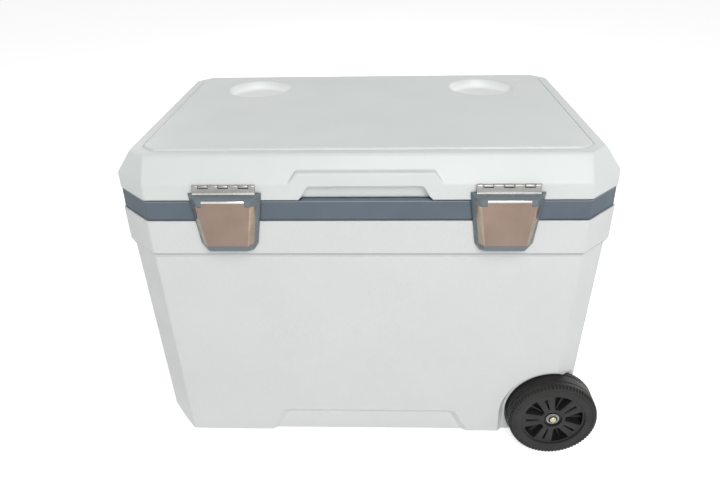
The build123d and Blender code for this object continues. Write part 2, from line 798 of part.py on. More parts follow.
# ---------------------------------------------------------------- leaf hinges
def hinge_leaf(centre, axis_y, axis_z, radius, pin, widths, first, plate):
    # one leaf of a knuckled hinge; first says whether it owns the outermost knuckles, and
    # plate is (nearest y, furthest y, lowest z, highest z) of the flat leaf
    total = sum(widths)
    near, far, low, high = plate
    with BuildPart() as leaf:
        with BuildSketch(Plane.YZ.offset(centre - total / 2)):
            with Locations((axis_y, axis_z)):
                Circle(radius)
            with Locations(((near + far) / 2, (low + high) / 2)):
                Rectangle(far - near, high - low)
        extrude(amount=total)
        start = centre - total / 2
        for index, width in enumerate(widths):
            if (index % 2 == 0) != first:
                add(round_bar(radius + 2 * knuckle_gap,
                              (start - knuckle_gap, axis_y, axis_z),
                              (start + width + knuckle_gap, axis_y, axis_z)),
                    mode=Mode.SUBTRACT)
            start += width
        add(round_bar(pin + pin_play, (centre - total, axis_y, axis_z),
                      (centre + total, axis_y, axis_z)), mode=Mode.SUBTRACT)
    return leaf.part


def hinge_pins(centres, axis_y, axis_z, pin, widths):
    with BuildPart() as pins:
        for centre in centres:
            half = sum(widths) / 2
            add(round_bar(pin, (centre - half, axis_y, axis_z), (centre + half, axis_y, axis_z)))
    return pins


both_rear = (-rear_hinge_x, rear_hinge_x)
both_latches = (-latch_x, latch_x)
rear_body_plate = (collar_half_y, collar_half_y + rear_leaf_thickness,
                   rear_axis_z - rear_leaf_low, rear_axis_z)
rear_lid_plate = (lid_half_y, lid_half_y + rear_leaf_thickness,
                  rear_axis_z, rear_axis_z + rear_leaf_high)
latch_lid_plate = (-lid_half_y - latch_leaf_thickness, -lid_half_y,
                   crease - latch_leaf_reach, latch_axis_z)
latch_own_plate = (latch_axis_y - latch_knuckle_radius,
                   latch_axis_y - latch_knuckle_radius + latch_leaf_thickness,
                   latch_top - latch_leaf_bite, latch_axis_z)

with BuildPart() as rear_hinge_body_leaves:
    for centre in both_rear:
        add(hinge_leaf(centre, rear_axis_y, rear_axis_z, rear_knuckle_radius, rear_pin_radius,
                       rear_knuckles, True, rear_body_plate))
    add(rear_body_screws.part, mode=Mode.SUBTRACT)
save(rear_hinge_body_leaves, "rear_hinge_body_leaves")

with BuildPart() as rear_hinge_lid_leaves:
    for centre in both_rear:
        add(hinge_leaf(centre, rear_axis_y, rear_axis_z, rear_knuckle_radius, rear_pin_radius,
                       rear_knuckles, False, rear_lid_plate))
    add(rear_lid_screws.part, mode=Mode.SUBTRACT)
save(rear_hinge_lid_leaves, "rear_hinge_lid_leaves")

rear_hinge_pins = hinge_pins(both_rear, rear_axis_y, rear_axis_z, rear_pin_radius, rear_knuckles)
save(rear_hinge_pins, "rear_hinge_pins")
save(rear_body_screws, "rear_hinge_body_screws")
save(rear_lid_screws, "rear_hinge_lid_screws")

with BuildPart() as latch_hinge_lid_leaves:
    for centre in both_latches:
        add(hinge_leaf(centre, latch_axis_y, latch_axis_z, latch_knuckle_radius,
                       latch_pin_radius, latch_knuckles, False, latch_lid_plate))
    add(latch_leaf_screws.part, mode=Mode.SUBTRACT)
save(latch_hinge_lid_leaves, "latch_hinge_lid_leaves")

latch_hinge_pins = hinge_pins(both_latches, latch_axis_y, latch_axis_z, latch_pin_radius,
                              latch_knuckles)
save(latch_hinge_pins, "latch_hinge_pins")
save(latch_leaf_screws, "latch_hinge_screws")


# ---------------------------------------------------------------- latches and their keepers
latch_taper = (latch_half_top - latch_half_low) / (latch_height - latch_corner_rise)
latch_cut = (latch_half_low - latch_half_bottom) / latch_corner_rise


def latch_points(centre, side_inset, top_inset, low_inset, cut_inset):
    # tapered latch outline with cut lower corners, drawn in X and Z, each side moved in by its own
    # distance
    half_top = latch_half_top - latch_taper * top_inset - side_inset
    half_foot = latch_half_top - latch_taper * latch_height - side_inset
    corner_rise = (half_foot - latch_half_bottom + cut_inset) / (latch_cut - latch_taper)
    half_corner = half_foot + latch_taper * corner_rise
    half_low = latch_half_bottom + latch_cut * low_inset - cut_inset
    return [
        (centre - half_top, latch_top - top_inset),
        (centre + half_top, latch_top - top_inset),
        (centre + half_corner, latch_bottom + corner_rise),
        (centre + half_low, latch_bottom + low_inset),
        (centre - half_low, latch_bottom + low_inset),
        (centre - half_corner, latch_bottom + corner_rise),
    ]


def latch_half(height, away):
    # half width of the latch's sloping sides at a height, on a plane this far from the middle
    return (latch_half_top - latch_taper * (latch_top - height)
            - latch_side_bevel * (away - latch_back) / latch_depth)


def plate_points(centre, away):
    # outline of the pressed plate: a tab at the top, and sides that follow the latch's
    top = latch_top - plate_tab_top
    shoulder = latch_top - plate_shoulder
    low = latch_bottom + plate_foot
    half_high = latch_half(shoulder, away) + plate_lift
    half_low = latch_half(low, away) + plate_lift
    return [
        (centre - plate_tab_half, top),
        (centre + plate_tab_half, top),
        (centre + plate_tab_half, shoulder),
        (centre + half_high, shoulder),
        (centre + half_low, low),
        (centre - half_low, low),
        (centre - half_high, shoulder),
        (centre - plate_tab_half, shoulder),
    ]


def core_points(centre, away):
    # what the bent plate wraps round: the latch's taper, one plate thickness further in
    top = latch_top - plate_tab_top + overshoot
    low = latch_bottom + plate_foot - overshoot
    half_high = latch_half(top, away) + plate_lift - plate_thickness
    half_low = latch_half(low, away) + plate_lift - plate_thickness
    return [
        (centre - half_high, top),
        (centre + half_high, top),
        (centre + half_low, low),
        (centre - half_low, low),
    ]


def loft_between(near, near_points, far, far_points):
    # a block between two outlines on planes parallel to the front
    with BuildPart() as block:
        for away, points in ((near, near_points), (far, far_points)):
            with BuildSketch(Plane.XZ.offset(away)):
                with BuildLine():
                    Polyline(points, close=True)
                make_face()
        loft(ruled=True)
    return block.part


hollow_depth = latch_depth - latch_web
hollow_bevel = latch_side_bevel * hollow_depth / latch_depth
plate_front = latch_front + plate_proud
plate_back = plate_front - plate_proud - plate_wrap

for side, centre in (("left", -latch_x), ("right", latch_x)):
    with BuildPart() as leaf:
        add(hinge_leaf(centre, latch_axis_y, latch_axis_z, latch_knuckle_radius,
                       latch_pin_radius, latch_knuckles, True, latch_own_plate))
    save(leaf, f"latch_{side}_leaf")

    with BuildPart() as plate:
        plate_inside = plate_front - plate_thickness
        add(loft_between(plate_back, plate_points(centre, plate_back),
                         plate_front, plate_points(centre, plate_front)))
        add(loft_between(plate_back, core_points(centre, plate_back),
                         plate_inside, core_points(centre, plate_inside)), mode=Mode.SUBTRACT)
    save(plate, f"latch_{side}_plate")

    with BuildPart() as frame:
        add(loft_between(latch_back, latch_points(centre, 0, 0, 0, 0),
                         latch_front, latch_points(centre, latch_side_bevel, latch_top_bevel,
                                                   latch_low_bevel, latch_cut_bevel)))
        slanted = edges().filter_by(Plane.XZ, reverse=True)
        fillet(slanted.sort_by(Axis.Z)[-2:], radius=latch_round)
        add(loft_between(latch_back - overshoot,
                         latch_points(centre, latch_wall, latch_bar, latch_wall, latch_wall),
                         latch_back + hollow_depth,
                         latch_points(centre, latch_wall + hollow_bevel, latch_bar,
                                      latch_wall + latch_low_bevel,
                                      latch_wall + hollow_bevel)), mode=Mode.SUBTRACT)
        with Locations((centre, -latch_back, latch_bottom + lip_margin)):
            Box(2 * lip_half, keeper_depth, lip_height, align=(Align.CENTER, Align.MAX, Align.MIN))
        add(plate.part, mode=Mode.SUBTRACT)
        add(leaf.part, mode=Mode.SUBTRACT)
    save(frame, f"latch_{side}_frame")

with BuildPart() as latch_keepers:
    for centre in both_latches:
        with Locations((centre, -collar_half_y + collar_draft, keeper_low)):
            Box(2 * keeper_half, keeper_depth + collar_draft, keeper_height,
                align=(Align.CENTER, Align.MAX, Align.MIN))
    front_edges = edges().filter_by(Axis.X).group_by(Axis.Y)[0].group_by(Axis.Z)[-1]
    chamfer(front_edges, length=keeper_bevel)
    add(outer_form, mode=Mode.SUBTRACT)
    add(keeper_screws.part, mode=Mode.SUBTRACT)
save(latch_keepers, "latch_keepers")
save(keeper_screws, "latch_keeper_screws")

# ---------------------------------------------------------------- lid
panel_top = lid_top + panel_height
panel_half_x = lid_half_x - lid_shoulder - panel_margin_x
panel_half_y = lid_half_y - lid_shoulder - panel_margin_y
cup_x = panel_half_x - cup_margin_x - cup_radius
cup_y = panel_half_y - cup_margin_y - cup_radius
cup_places = ((-cup_x, cup_y), (cup_x, cup_y))
liner_plate_low = band_top + gasket_gap + gasket_height - gasket_bite
liner_plate_top = liner_plate_low + liner_wall
plug_low = band_top - plug_depth
plug_section = inset(mouth_section, plug_clearance)


def slope_section(height, distance):
    # the lid's outline part of the way up its sloping shoulder, moved in by a distance
    part_way = (height - crease) / lid_rise
    half_x, half_y, corner = skirt_section
    shrink = lid_shoulder * part_way
    leg = corner + (lid_top_corner - corner) * part_way
    return inset((half_x - shrink, half_y - shrink, leg), distance)


def grip_notch(grow):
    # the hand hold in the middle of the front skirt
    with BuildPart() as notch:
        with BuildSketch(Plane.XZ.offset(lid_half_y - notch_depth - grow)):
            with BuildLine():
                Polyline(
                    (-notch_half_low - notch_flare - lid_wall - grow, skirt_low - lid_wall),
                    (notch_half_low + notch_flare + lid_wall + grow, skirt_low - lid_wall),
                    (notch_half_low + grow, skirt_low + notch_flare),
                    (notch_half_high + grow, skirt_low + notch_height + grow),
                    (-notch_half_high - grow, skirt_low + notch_height + grow),
                    (-notch_half_low - grow, skirt_low + notch_flare),
                    close=True,
                )
            make_face()
            fillet(vertices().group_by(Axis.Y)[-1], radius=notch_corner)
            fillet(vertices().group_by(Axis.Y)[1], radius=notch_corner)
        extrude(amount=2 * notch_depth + grow)
    return notch.part


with BuildPart() as lid_hollow:
    # the space under the lid's skin
    add(stack([
        (skirt_low, inset(skirt_section, lid_wall)),
        (crease, slope_section(crease, lid_wall)),
        (lid_top - lid_wall, slope_section(lid_top - lid_wall, lid_wall)),
    ], inner_round))
    for place in cup_places:
        with Locations((*place, panel_top - cup_depth - lid_wall)):
            Cylinder(cup_radius + lid_wall, cup_depth + lid_wall,
                     align=(Align.CENTER, Align.CENTER, Align.MIN), mode=Mode.SUBTRACT)
    add(grip_notch(lid_wall), mode=Mode.SUBTRACT)

with BuildPart() as lid_pad:
    # the raised pad above the hand hold, with soft front edges
    with BuildSketch(Plane.XZ.offset(lid_half_y - lid_shoulder)):
        with BuildLine():
            Polyline(
                (-pad_half_low, crease - crease_round),
                (pad_half_low, crease - crease_round),
                (pad_half_high, crease + pad_rise),
                (-pad_half_high, crease + pad_rise),
                close=True,
            )
        make_face()
        fillet(vertices().group_by(Axis.Y)[-1], radius=notch_corner)
    extrude(amount=lid_shoulder)
    pad_rim = faces().sort_by(Axis.Y)[0].edges()
    fillet(pad_rim.sort_by(Axis.Z)[1:], radius=pad_round)

with BuildPart() as lid_shell:
    add(stack([
        (skirt_low, skirt_section),
        (crease - crease_round, skirt_section),
        (crease, slope_section(crease, crease_cut)),
        (crease + crease_round, slope_section(crease + crease_round, 0)),
        (lid_top - crease_round, slope_section(lid_top - crease_round, 0)),
        (lid_top, slope_section(lid_top, brow_cut)),
    ], outer_round))
    add(lid_pad.part)
    with BuildSketch(Plane.XY.offset(lid_top)):
        outline((panel_half_x, panel_half_y, panel_corner), panel_round)
    extrude(amount=panel_height, taper=panel_slope)
    with BuildSketch(Plane.XY.offset(lid_top)):
        outline(inset((panel_half_x, panel_half_y, panel_corner), -groove_width), panel_round)
        outline((panel_half_x, panel_half_y, panel_corner), panel_round, mode=Mode.SUBTRACT)
    extrude(amount=-groove_depth, mode=Mode.SUBTRACT)
    for place in cup_places:
        with BuildSketch(Plane.XY.offset(panel_top - cup_depth)):
            with Locations(place):
                Circle(cup_floor_radius)
        with BuildSketch(Plane.XY.offset(panel_top)):
            with Locations(place):
                Circle(cup_radius)
        loft(mode=Mode.SUBTRACT)
    cup_floors = edges().filter_by(GeomType.CIRCLE).filter_by(
        lambda e: isclose(e.radius, cup_floor_radius))
    fillet(cup_floors, radius=cup_floor_round)
    cup_rims = edges().filter_by(GeomType.CIRCLE).filter_by(
        lambda e: isclose(e.radius, cup_radius))
    fillet(cup_rims, radius=cup_lip_round)
    add(grip_notch(0), mode=Mode.SUBTRACT)
    add(lid_hollow.part, mode=Mode.SUBTRACT)
    add(rear_lid_screws.part, mode=Mode.SUBTRACT)
    add(latch_leaf_screws.part, mode=Mode.SUBTRACT)
save(lid_shell, "lid_shell")

with BuildPart() as lid_gasket:
    with BuildSketch(Plane.XY.offset(band_top + gasket_gap)):
        outline(inset(mouth_section, -gasket_margin - gasket_width), outer_round)
        outline(inset(mouth_section, -gasket_margin), outer_round, mode=Mode.SUBTRACT)
    extrude(amount=gasket_height)
save(lid_gasket, "lid_gasket")

with BuildPart() as lid_liner:
    with BuildSketch(Plane.XY.offset(liner_plate_low)):
        outline(inset(skirt_section, lid_wall), inner_round)
    extrude(amount=liner_wall)
    add(grip_notch(lid_wall), mode=Mode.SUBTRACT)
    with BuildSketch(Plane.XY.offset(plug_low)):
        outline(plug_section, outer_round)
    extrude(amount=liner_plate_low - plug_low)
    fillet(faces().group_by(Axis.Z)[0].edges(), radius=plug_edge)
    with BuildSketch(Plane.XY.offset(plug_low + liner_wall)):
        outline(inset(plug_section, liner_wall), inner_round)
    extrude(amount=plug_depth + gasket_height + liner_wall, mode=Mode.SUBTRACT)
    add(lid_gasket.part, mode=Mode.SUBTRACT)
save(lid_liner, "lid_liner")

with BuildPart() as lid_foam:
    add(lid_hollow.part)
    with Locations((0, 0, liner_plate_top)):
        Box(2 * collar_half_x, 2 * collar_half_y, lid_skirt,
            align=(Align.CENTER, Align.CENTER, Align.MAX), mode=Mode.SUBTRACT)
    with BuildSketch(Plane.XY.offset(plug_low + liner_wall)):
        outline(inset(plug_section, liner_wall), inner_round)
    extrude(amount=liner_plate_top - plug_low - liner_wall)
save(lid_foam, "lid_foam")

# ---------------------------------------------------------------- pull handle
outer_rail_top = upper_bracket_top + 2 * rail_wall
mid_rail_radius = outer_rail_radius - rail_wall - rail_play
inner_rail_radius = mid_rail_radius - rail_wall - rail_play
mid_rail_low = rail_low + rail_step
inner_rail_low = mid_rail_low + rail_step
mid_rail_top = outer_rail_top + rail_show
grip_x = collar_half_x + rail_gap + grip_depth / 2
grip_low = mid_rail_top + grip_rise
grip_top = grip_low + grip_height
button_slot = button_height - button_proud + button_travel + button_play


def rail_pair(radius, low, high):
    with BuildPart() as rails:
        for side in (-1, 1):
            with BuildSketch(Plane.XY.offset(low)):
                with Locations((rail_x, side * rail_y)):
                    Circle(radius)
                    Circle(radius - rail_wall, mode=Mode.SUBTRACT)
            extrude(amount=high - low)
    return rails


outer_rails = rail_pair(outer_rail_radius, rail_low, outer_rail_top)
mid_rails = rail_pair(mid_rail_radius, mid_rail_low, mid_rail_top)
inner_rails = rail_pair(inner_rail_radius, inner_rail_low, grip_low + grip_socket)
save(outer_rails, "pull_handle_outer_rails")
save(mid_rails, "pull_handle_mid_rails")
save(inner_rails, "pull_handle_inner_rails")


def rail_bracket(low, height, seat):
    # a block that ties the rails to the wall behind them; seat is where the rails' sockets start
    middle = low + height / 2
    with BuildPart() as bracket:
        with Locations((bracket_outer_x, 0, low)):
            Box(bracket_outer_x - body_half_x + body_draft, 2 * bracket_half_y, height,
                align=(Align.MAX, Align.CENTER, Align.MIN))
        outer_face = faces().sort_by(Axis.X)[-1]
        fillet(outer_face.edges(), radius=bracket_round)
        for side in (-1, 1):
            with Locations((rail_x, side * rail_y, seat)):
                Cylinder(outer_rail_radius, height,
                         align=(Align.CENTER, Align.CENTER, Align.MIN), mode=Mode.SUBTRACT)
            wall = wall_at(body_half_x, middle) if middle < collar_low else collar_half_x
            add(round_bar(bracket_screw_head + bracket_screw_room,
                          (wall + bracket_floor, side * bracket_screw_spread, middle),
                          (bracket_outer_x + overshoot, side * bracket_screw_spread, middle)),
                mode=Mode.SUBTRACT)
        add(outer_form, mode=Mode.SUBTRACT)
        add(bracket_screws.part, mode=Mode.SUBTRACT)
    return bracket


pull_upper_bracket = rail_bracket(upper_bracket_top - upper_bracket_height,
                                  upper_bracket_height, upper_bracket_top - upper_bracket_height)
pull_lower_bracket = rail_bracket(lower_bracket_z - lower_bracket_height / 2,
                                  lower_bracket_height, rail_low)
save(pull_upper_bracket, "pull_handle_upper_bracket")
save(pull_lower_bracket, "pull_handle_lower_bracket")
save(bracket_screws, "pull_handle_screws")

with BuildPart() as pull_grip:
    with BuildSketch(Plane.XZ.offset(-grip_half_y)):
        with Locations((grip_x, grip_low + grip_height / 2)):
            RectangleRounded(grip_depth, grip_height, grip_round)
    extrude(amount=2 * grip_half_y)
    for side in (-1, 1):
        with Locations((rail_x, side * rail_y, grip_low)):
            Cylinder(inner_rail_radius, grip_socket,
                     align=(Align.CENTER, Align.CENTER, Align.MIN), mode=Mode.SUBTRACT)
    with BuildSketch(Plane.XY.offset(grip_top)):
        with Locations((grip_x, 0)):
            SlotOverall(2 * button_half_y + 2 * button_play, button_depth + 2 * button_play,
                        rotation=quarter_turn)
    extrude(amount=-button_slot, mode=Mode.SUBTRACT)
save(pull_grip, "pull_handle_grip")

with BuildPart() as release_button:
    with BuildSketch(Plane.XY.offset(grip_top + button_proud)):
        with Locations((grip_x, 0)):
            SlotOverall(2 * button_half_y, button_depth, rotation=quarter_turn)
    extrude(amount=-button_height)
    fillet(faces().sort_by(Axis.Z)[-1].edges(), radius=button_round)
save(release_button, "pull_handle_button")

# ---------------------------------------------------------------- carry handle
with BuildPart() as carry_brackets:
    for side in (-1, 1):
        with Locations((carry_pivot_x + carry_pivot_out + body_draft,
                        side * (carry_ear_y + carry_plate_extra), carry_pivot_z)):
            Box(body_draft + carry_plate_thickness, carry_ear_width + 2 * carry_plate_extra,
                2 * carry_plate_half_z, align=(Align.MAX, Align.CENTER, Align.CENTER))
        with BuildSketch(Plane.XZ.offset(-side * carry_ear_y - carry_ear_width / 2)):
            with Locations((carry_pivot_x, carry_pivot_z)):
                Circle(carry_ear_radius)
                Rectangle(carry_pivot_out + body_draft, 2 * carry_ear_radius,
                          align=(Align.MIN, Align.CENTER))
        extrude(amount=carry_ear_width)
        add(round_bar(carry_pin_radius + pin_play,
                      (carry_pivot_x, side * (carry_ear_y - carry_ear_width), carry_pivot_z),
                      (carry_pivot_x, side * (carry_ear_y + carry_ear_width), carry_pivot_z)),
            mode=Mode.SUBTRACT)
    add(outer_form, mode=Mode.SUBTRACT)
    add(carry_screws.part, mode=Mode.SUBTRACT)
save(carry_brackets, "carry_handle_brackets")
save(carry_screws, "carry_handle_screws")

with BuildPart() as carry_bail:
    for side in (-1, 1):
        with BuildSketch(Plane.XZ.offset(-side * carry_half_span - carry_arm_width / 2)):
            with Locations((carry_pivot_x, carry_pivot_z)):
                Circle(carry_eye_radius)
                Rectangle(carry_arm_depth, carry_drop, align=(Align.CENTER, Align.MAX))
            with Locations((carry_pivot_x, carry_pivot_z - carry_drop)):
                Circle(carry_eye_radius)
        extrude(amount=carry_arm_width)
        add(round_bar(carry_pin_radius,
                      (carry_pivot_x, side * carry_half_span, carry_pivot_z),
                      (carry_pivot_x, side * (carry_ear_y + carry_ear_width / 2 - pin_play),
                       carry_pivot_z)))
    add(round_bar(carry_bar_radius, (carry_pivot_x, -carry_half_span, carry_pivot_z - carry_drop),
                  (carry_pivot_x, carry_half_span, carry_pivot_z - carry_drop)))
save(carry_bail, "carry_handle_bail")

with BuildPart() as carry_sleeve:
    low = (carry_pivot_x, -carry_grip_half, carry_pivot_z - carry_drop)
    high = (carry_pivot_x, carry_grip_half, carry_pivot_z - carry_drop)
    add(round_bar(carry_grip_radius, low, high))
    chamfer(edges().filter_by(GeomType.CIRCLE), length=carry_grip_round)
    add(round_bar(carry_bar_radius, low, high), mode=Mode.SUBTRACT)
save(carry_sleeve, "carry_handle_grip")

# ---------------------------------------------------------------- drain
flange_x = drain_wall_x + drain_seat
flange_face = flange_x - drain_flange
cap_x = flange_face - seal_gap
with BuildPart() as drain_bush:
    add(round_bar(drain_outer, (flange_x, 0, drain_z),
                  (-mouth_half_x + 2 * liner_draft, 0, drain_z)))
    add(round_bar(drain_flange_radius, (flange_x, 0, drain_z), (flange_face, 0, drain_z)))
    add(round_bar(drain_bore, (flange_face, 0, drain_z),
                  (-mouth_half_x + 2 * liner_draft, 0, drain_z)), mode=Mode.SUBTRACT)
    add(cavity.part, mode=Mode.SUBTRACT)
save(drain_bush, "drain_bushing")

with BuildPart() as drain_seal:
    seal_start = (cap_x, 0, drain_z)
    seal_end = (cap_x - seal_thickness, 0, drain_z)
    add(round_bar(seal_radius, seal_start, seal_end))
    add(round_bar(drain_bore, seal_start, seal_end), mode=Mode.SUBTRACT)
save(drain_seal, "drain_seal")

with BuildPart() as drain_plug:
    add(round_bar(drain_cap_radius, (cap_x, 0, drain_z), (cap_x - drain_cap, 0, drain_z)))
    chamfer(edges().filter_by(GeomType.CIRCLE).sort_by(Axis.X)[0], length=drain_cap_round)
    add(round_bar(drain_bore - drain_play, (cap_x - seal_thickness, 0, drain_z),
                  (cap_x + drain_spigot, 0, drain_z)))
    with BuildSketch(Plane.YZ.offset(cap_x - drain_cap)):
        with Locations((0, drain_z)):
            SlotOverall(drain_wing_length, drain_wing_width, rotation=quarter_turn)
    extrude(amount=-drain_wing)
    add(drain_seal.part, mode=Mode.SUBTRACT)
save(drain_plug, "drain_plug")
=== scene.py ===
import json
import math
import random

import bmesh
import bpy
from mathutils import Matrix, Vector


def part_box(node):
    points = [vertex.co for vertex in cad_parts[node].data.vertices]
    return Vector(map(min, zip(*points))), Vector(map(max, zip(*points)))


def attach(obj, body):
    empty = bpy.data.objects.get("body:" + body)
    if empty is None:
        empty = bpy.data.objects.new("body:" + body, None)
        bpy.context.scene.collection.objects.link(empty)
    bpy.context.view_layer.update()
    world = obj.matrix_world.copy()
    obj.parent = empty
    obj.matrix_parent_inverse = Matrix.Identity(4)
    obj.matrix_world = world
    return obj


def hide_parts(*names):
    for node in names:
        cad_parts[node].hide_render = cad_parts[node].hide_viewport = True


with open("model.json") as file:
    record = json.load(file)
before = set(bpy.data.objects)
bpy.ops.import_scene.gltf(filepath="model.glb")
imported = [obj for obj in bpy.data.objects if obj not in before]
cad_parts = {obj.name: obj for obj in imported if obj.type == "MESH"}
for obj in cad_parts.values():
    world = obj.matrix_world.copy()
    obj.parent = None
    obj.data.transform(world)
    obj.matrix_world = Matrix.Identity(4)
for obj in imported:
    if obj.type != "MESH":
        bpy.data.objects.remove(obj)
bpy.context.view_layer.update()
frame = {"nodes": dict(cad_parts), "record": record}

nodes = frame["nodes"]
random.seed(7)
print("cool box: frame loaded,", len(nodes), "nodes")


# camera, floor and lights

cameraSetup = {
    "place": (0.02016, -0.90096, 0.72047),
    "tiltDown": 27.97,       # degrees, and so are the next two
    "turn": -2.26,
    "roll": -1.11,
    "lens": 32.14,           # mm, and so is the sensor's width
    "sensor": 36,
}

tilt = math.radians(cameraSetup["tiltDown"])
turn = math.radians(cameraSetup["turn"])
roll = math.radians(cameraSetup["roll"])
ahead = Vector((math.sin(turn) * math.cos(tilt), math.cos(turn) * math.cos(tilt), -math.sin(tilt)))
level = Vector((math.cos(turn), -math.sin(turn), 0))
upright = level.cross(ahead)
sideways = math.cos(roll) * level + math.sin(roll) * upright
upward = math.cos(roll) * upright - math.sin(roll) * level
cameraData = bpy.data.cameras.new("camera")
cameraData.lens = cameraSetup["lens"]
cameraData.sensor_width = cameraSetup["sensor"]
camera = bpy.data.objects.new("camera", cameraData)
camera.matrix_world = Matrix.Translation(cameraSetup["place"]) @ Matrix(
    (sideways, upward, -ahead)).transposed().to_4x4()
bpy.context.scene.collection.objects.link(camera)
bpy.context.scene.camera = camera
bpy.context.scene.view_settings.view_transform = "Standard"

studio = {
    "ambient": 0.26,
    "floorHalf": 9,
    "floorColor": 0.88,
    "floorLift": 0.70,       # what the floor adds towards the camera, so that it reads as white
    "aim": (0, 0, 0.2),      # what every lamp points at
    "lamps": {
        # name: (place, side of the square, power)
        "keyLight": ((0.5, -2.25, 2.0), 1.8, 47),
        "rightLight": ((2.1, 1.8, 0.75), 2.0, 25),
        "leftLight": ((-2.1, 1.8, 0.75), 2.0, 25),
        "topLight": ((-0.9, 0.5, 2.5), 2.0, 2),
    },
}


def addLamp(name, place, side, power):
    lampData = bpy.data.lights.new(name, "AREA")
    lampData.shape = "SQUARE"
    lampData.size = side
    lampData.energy = power
    lamp = bpy.data.objects.new(name, lampData)
    lamp.location = place
    towards = Vector(studio["aim"]) - Vector(place)
    lamp.rotation_euler = towards.to_track_quat("-Z", "Y").to_euler()
    bpy.context.scene.collection.objects.link(lamp)


for lampName, lampSetup in studio["lamps"].items():
    addLamp(lampName, *lampSetup)


def mathNode(tree, operation, first, second=0):
    # a Math node between two values, each a plain number or another node's output
    node = tree.nodes.new("ShaderNodeMath")
    node.operation = operation
    for value, socket in ((first, node.inputs[0]), (second, node.inputs[1])):
        if isinstance(value, (int, float)):
            socket.default_value = value
        else:
            tree.links.new(value, socket)
    return node.outputs["Value"]


def seenDirectly(tree):
    # 1 for what the camera sees straight, in a mirror or through glass, otherwise 0
    path = tree.nodes.new("ShaderNodeLightPath")
    seen = mathNode(tree, "MAXIMUM", path.outputs["Is Camera Ray"], path.outputs["Is Glossy Ray"])
    return mathNode(tree, "MAXIMUM", seen, path.outputs["Is Transmission Ray"])


world = bpy.data.worlds.new("studioWorld")
bpy.context.scene.world = world
world.use_nodes = True
skyNodes = world.node_tree
skyNodes.nodes.clear()
skyMix = skyNodes.nodes.new("ShaderNodeMixShader")
skyLight = skyNodes.nodes.new("ShaderNodeBackground")
skyLight.inputs["Strength"].default_value = studio["ambient"]
skyLight.inputs["Color"].default_value = (1, 1, 1, 1)
skyWhite = skyNodes.nodes.new("ShaderNodeBackground")
skyWhite.inputs["Color"].default_value = (1, 1, 1, 1)
skyOut = skyNodes.nodes.new("ShaderNodeOutputWorld")
skyNodes.links.new(seenDirectly(skyNodes), skyMix.inputs[0])
skyNodes.links.new(skyLight.outputs[0], skyMix.inputs[1])
skyNodes.links.new(skyWhite.outputs[0], skyMix.inputs[2])
skyNodes.links.new(skyMix.outputs[0], skyOut.inputs[0])

floorMesh = bpy.data.meshes.new("floor")
far = studio["floorHalf"]
corners = [(-far, -far, 0), (far, -far, 0), (far, far, 0), (-far, far, 0)]
floorMesh.from_pydata(corners, [], [(0, 1, 2, 3)])
floor = bpy.data.objects.new("floor", floorMesh)
bpy.context.scene.collection.objects.link(floor)
floorPaint = bpy.data.materials.new("floorPaint")
floorPaint.use_nodes = True
floorTree = floorPaint.node_tree
floorTree.nodes.clear()
floorMatt = floorTree.nodes.new("ShaderNodeBsdfDiffuse")
shade = studio["floorColor"]
floorMatt.inputs["Color"].default_value = (shade, shade, shade, 1)
floorLift = floorTree.nodes.new("ShaderNodeEmission")
liftAmount = mathNode(floorTree, "MULTIPLY", seenDirectly(floorTree), studio["floorLift"])
floorTree.links.new(liftAmount, floorLift.inputs["Strength"])
floorSum = floorTree.nodes.new("ShaderNodeAddShader")
floorTree.links.new(floorMatt.outputs[0], floorSum.inputs[0])
floorTree.links.new(floorLift.outputs[0], floorSum.inputs[1])
floorOut = floorTree.nodes.new("ShaderNodeOutputMaterial")
floorTree.links.new(floorSum.outputs[0], floorOut.inputs[0])
floorMesh.materials.append(floorPaint)
print("cool box: camera, floor and lights")


# finishes

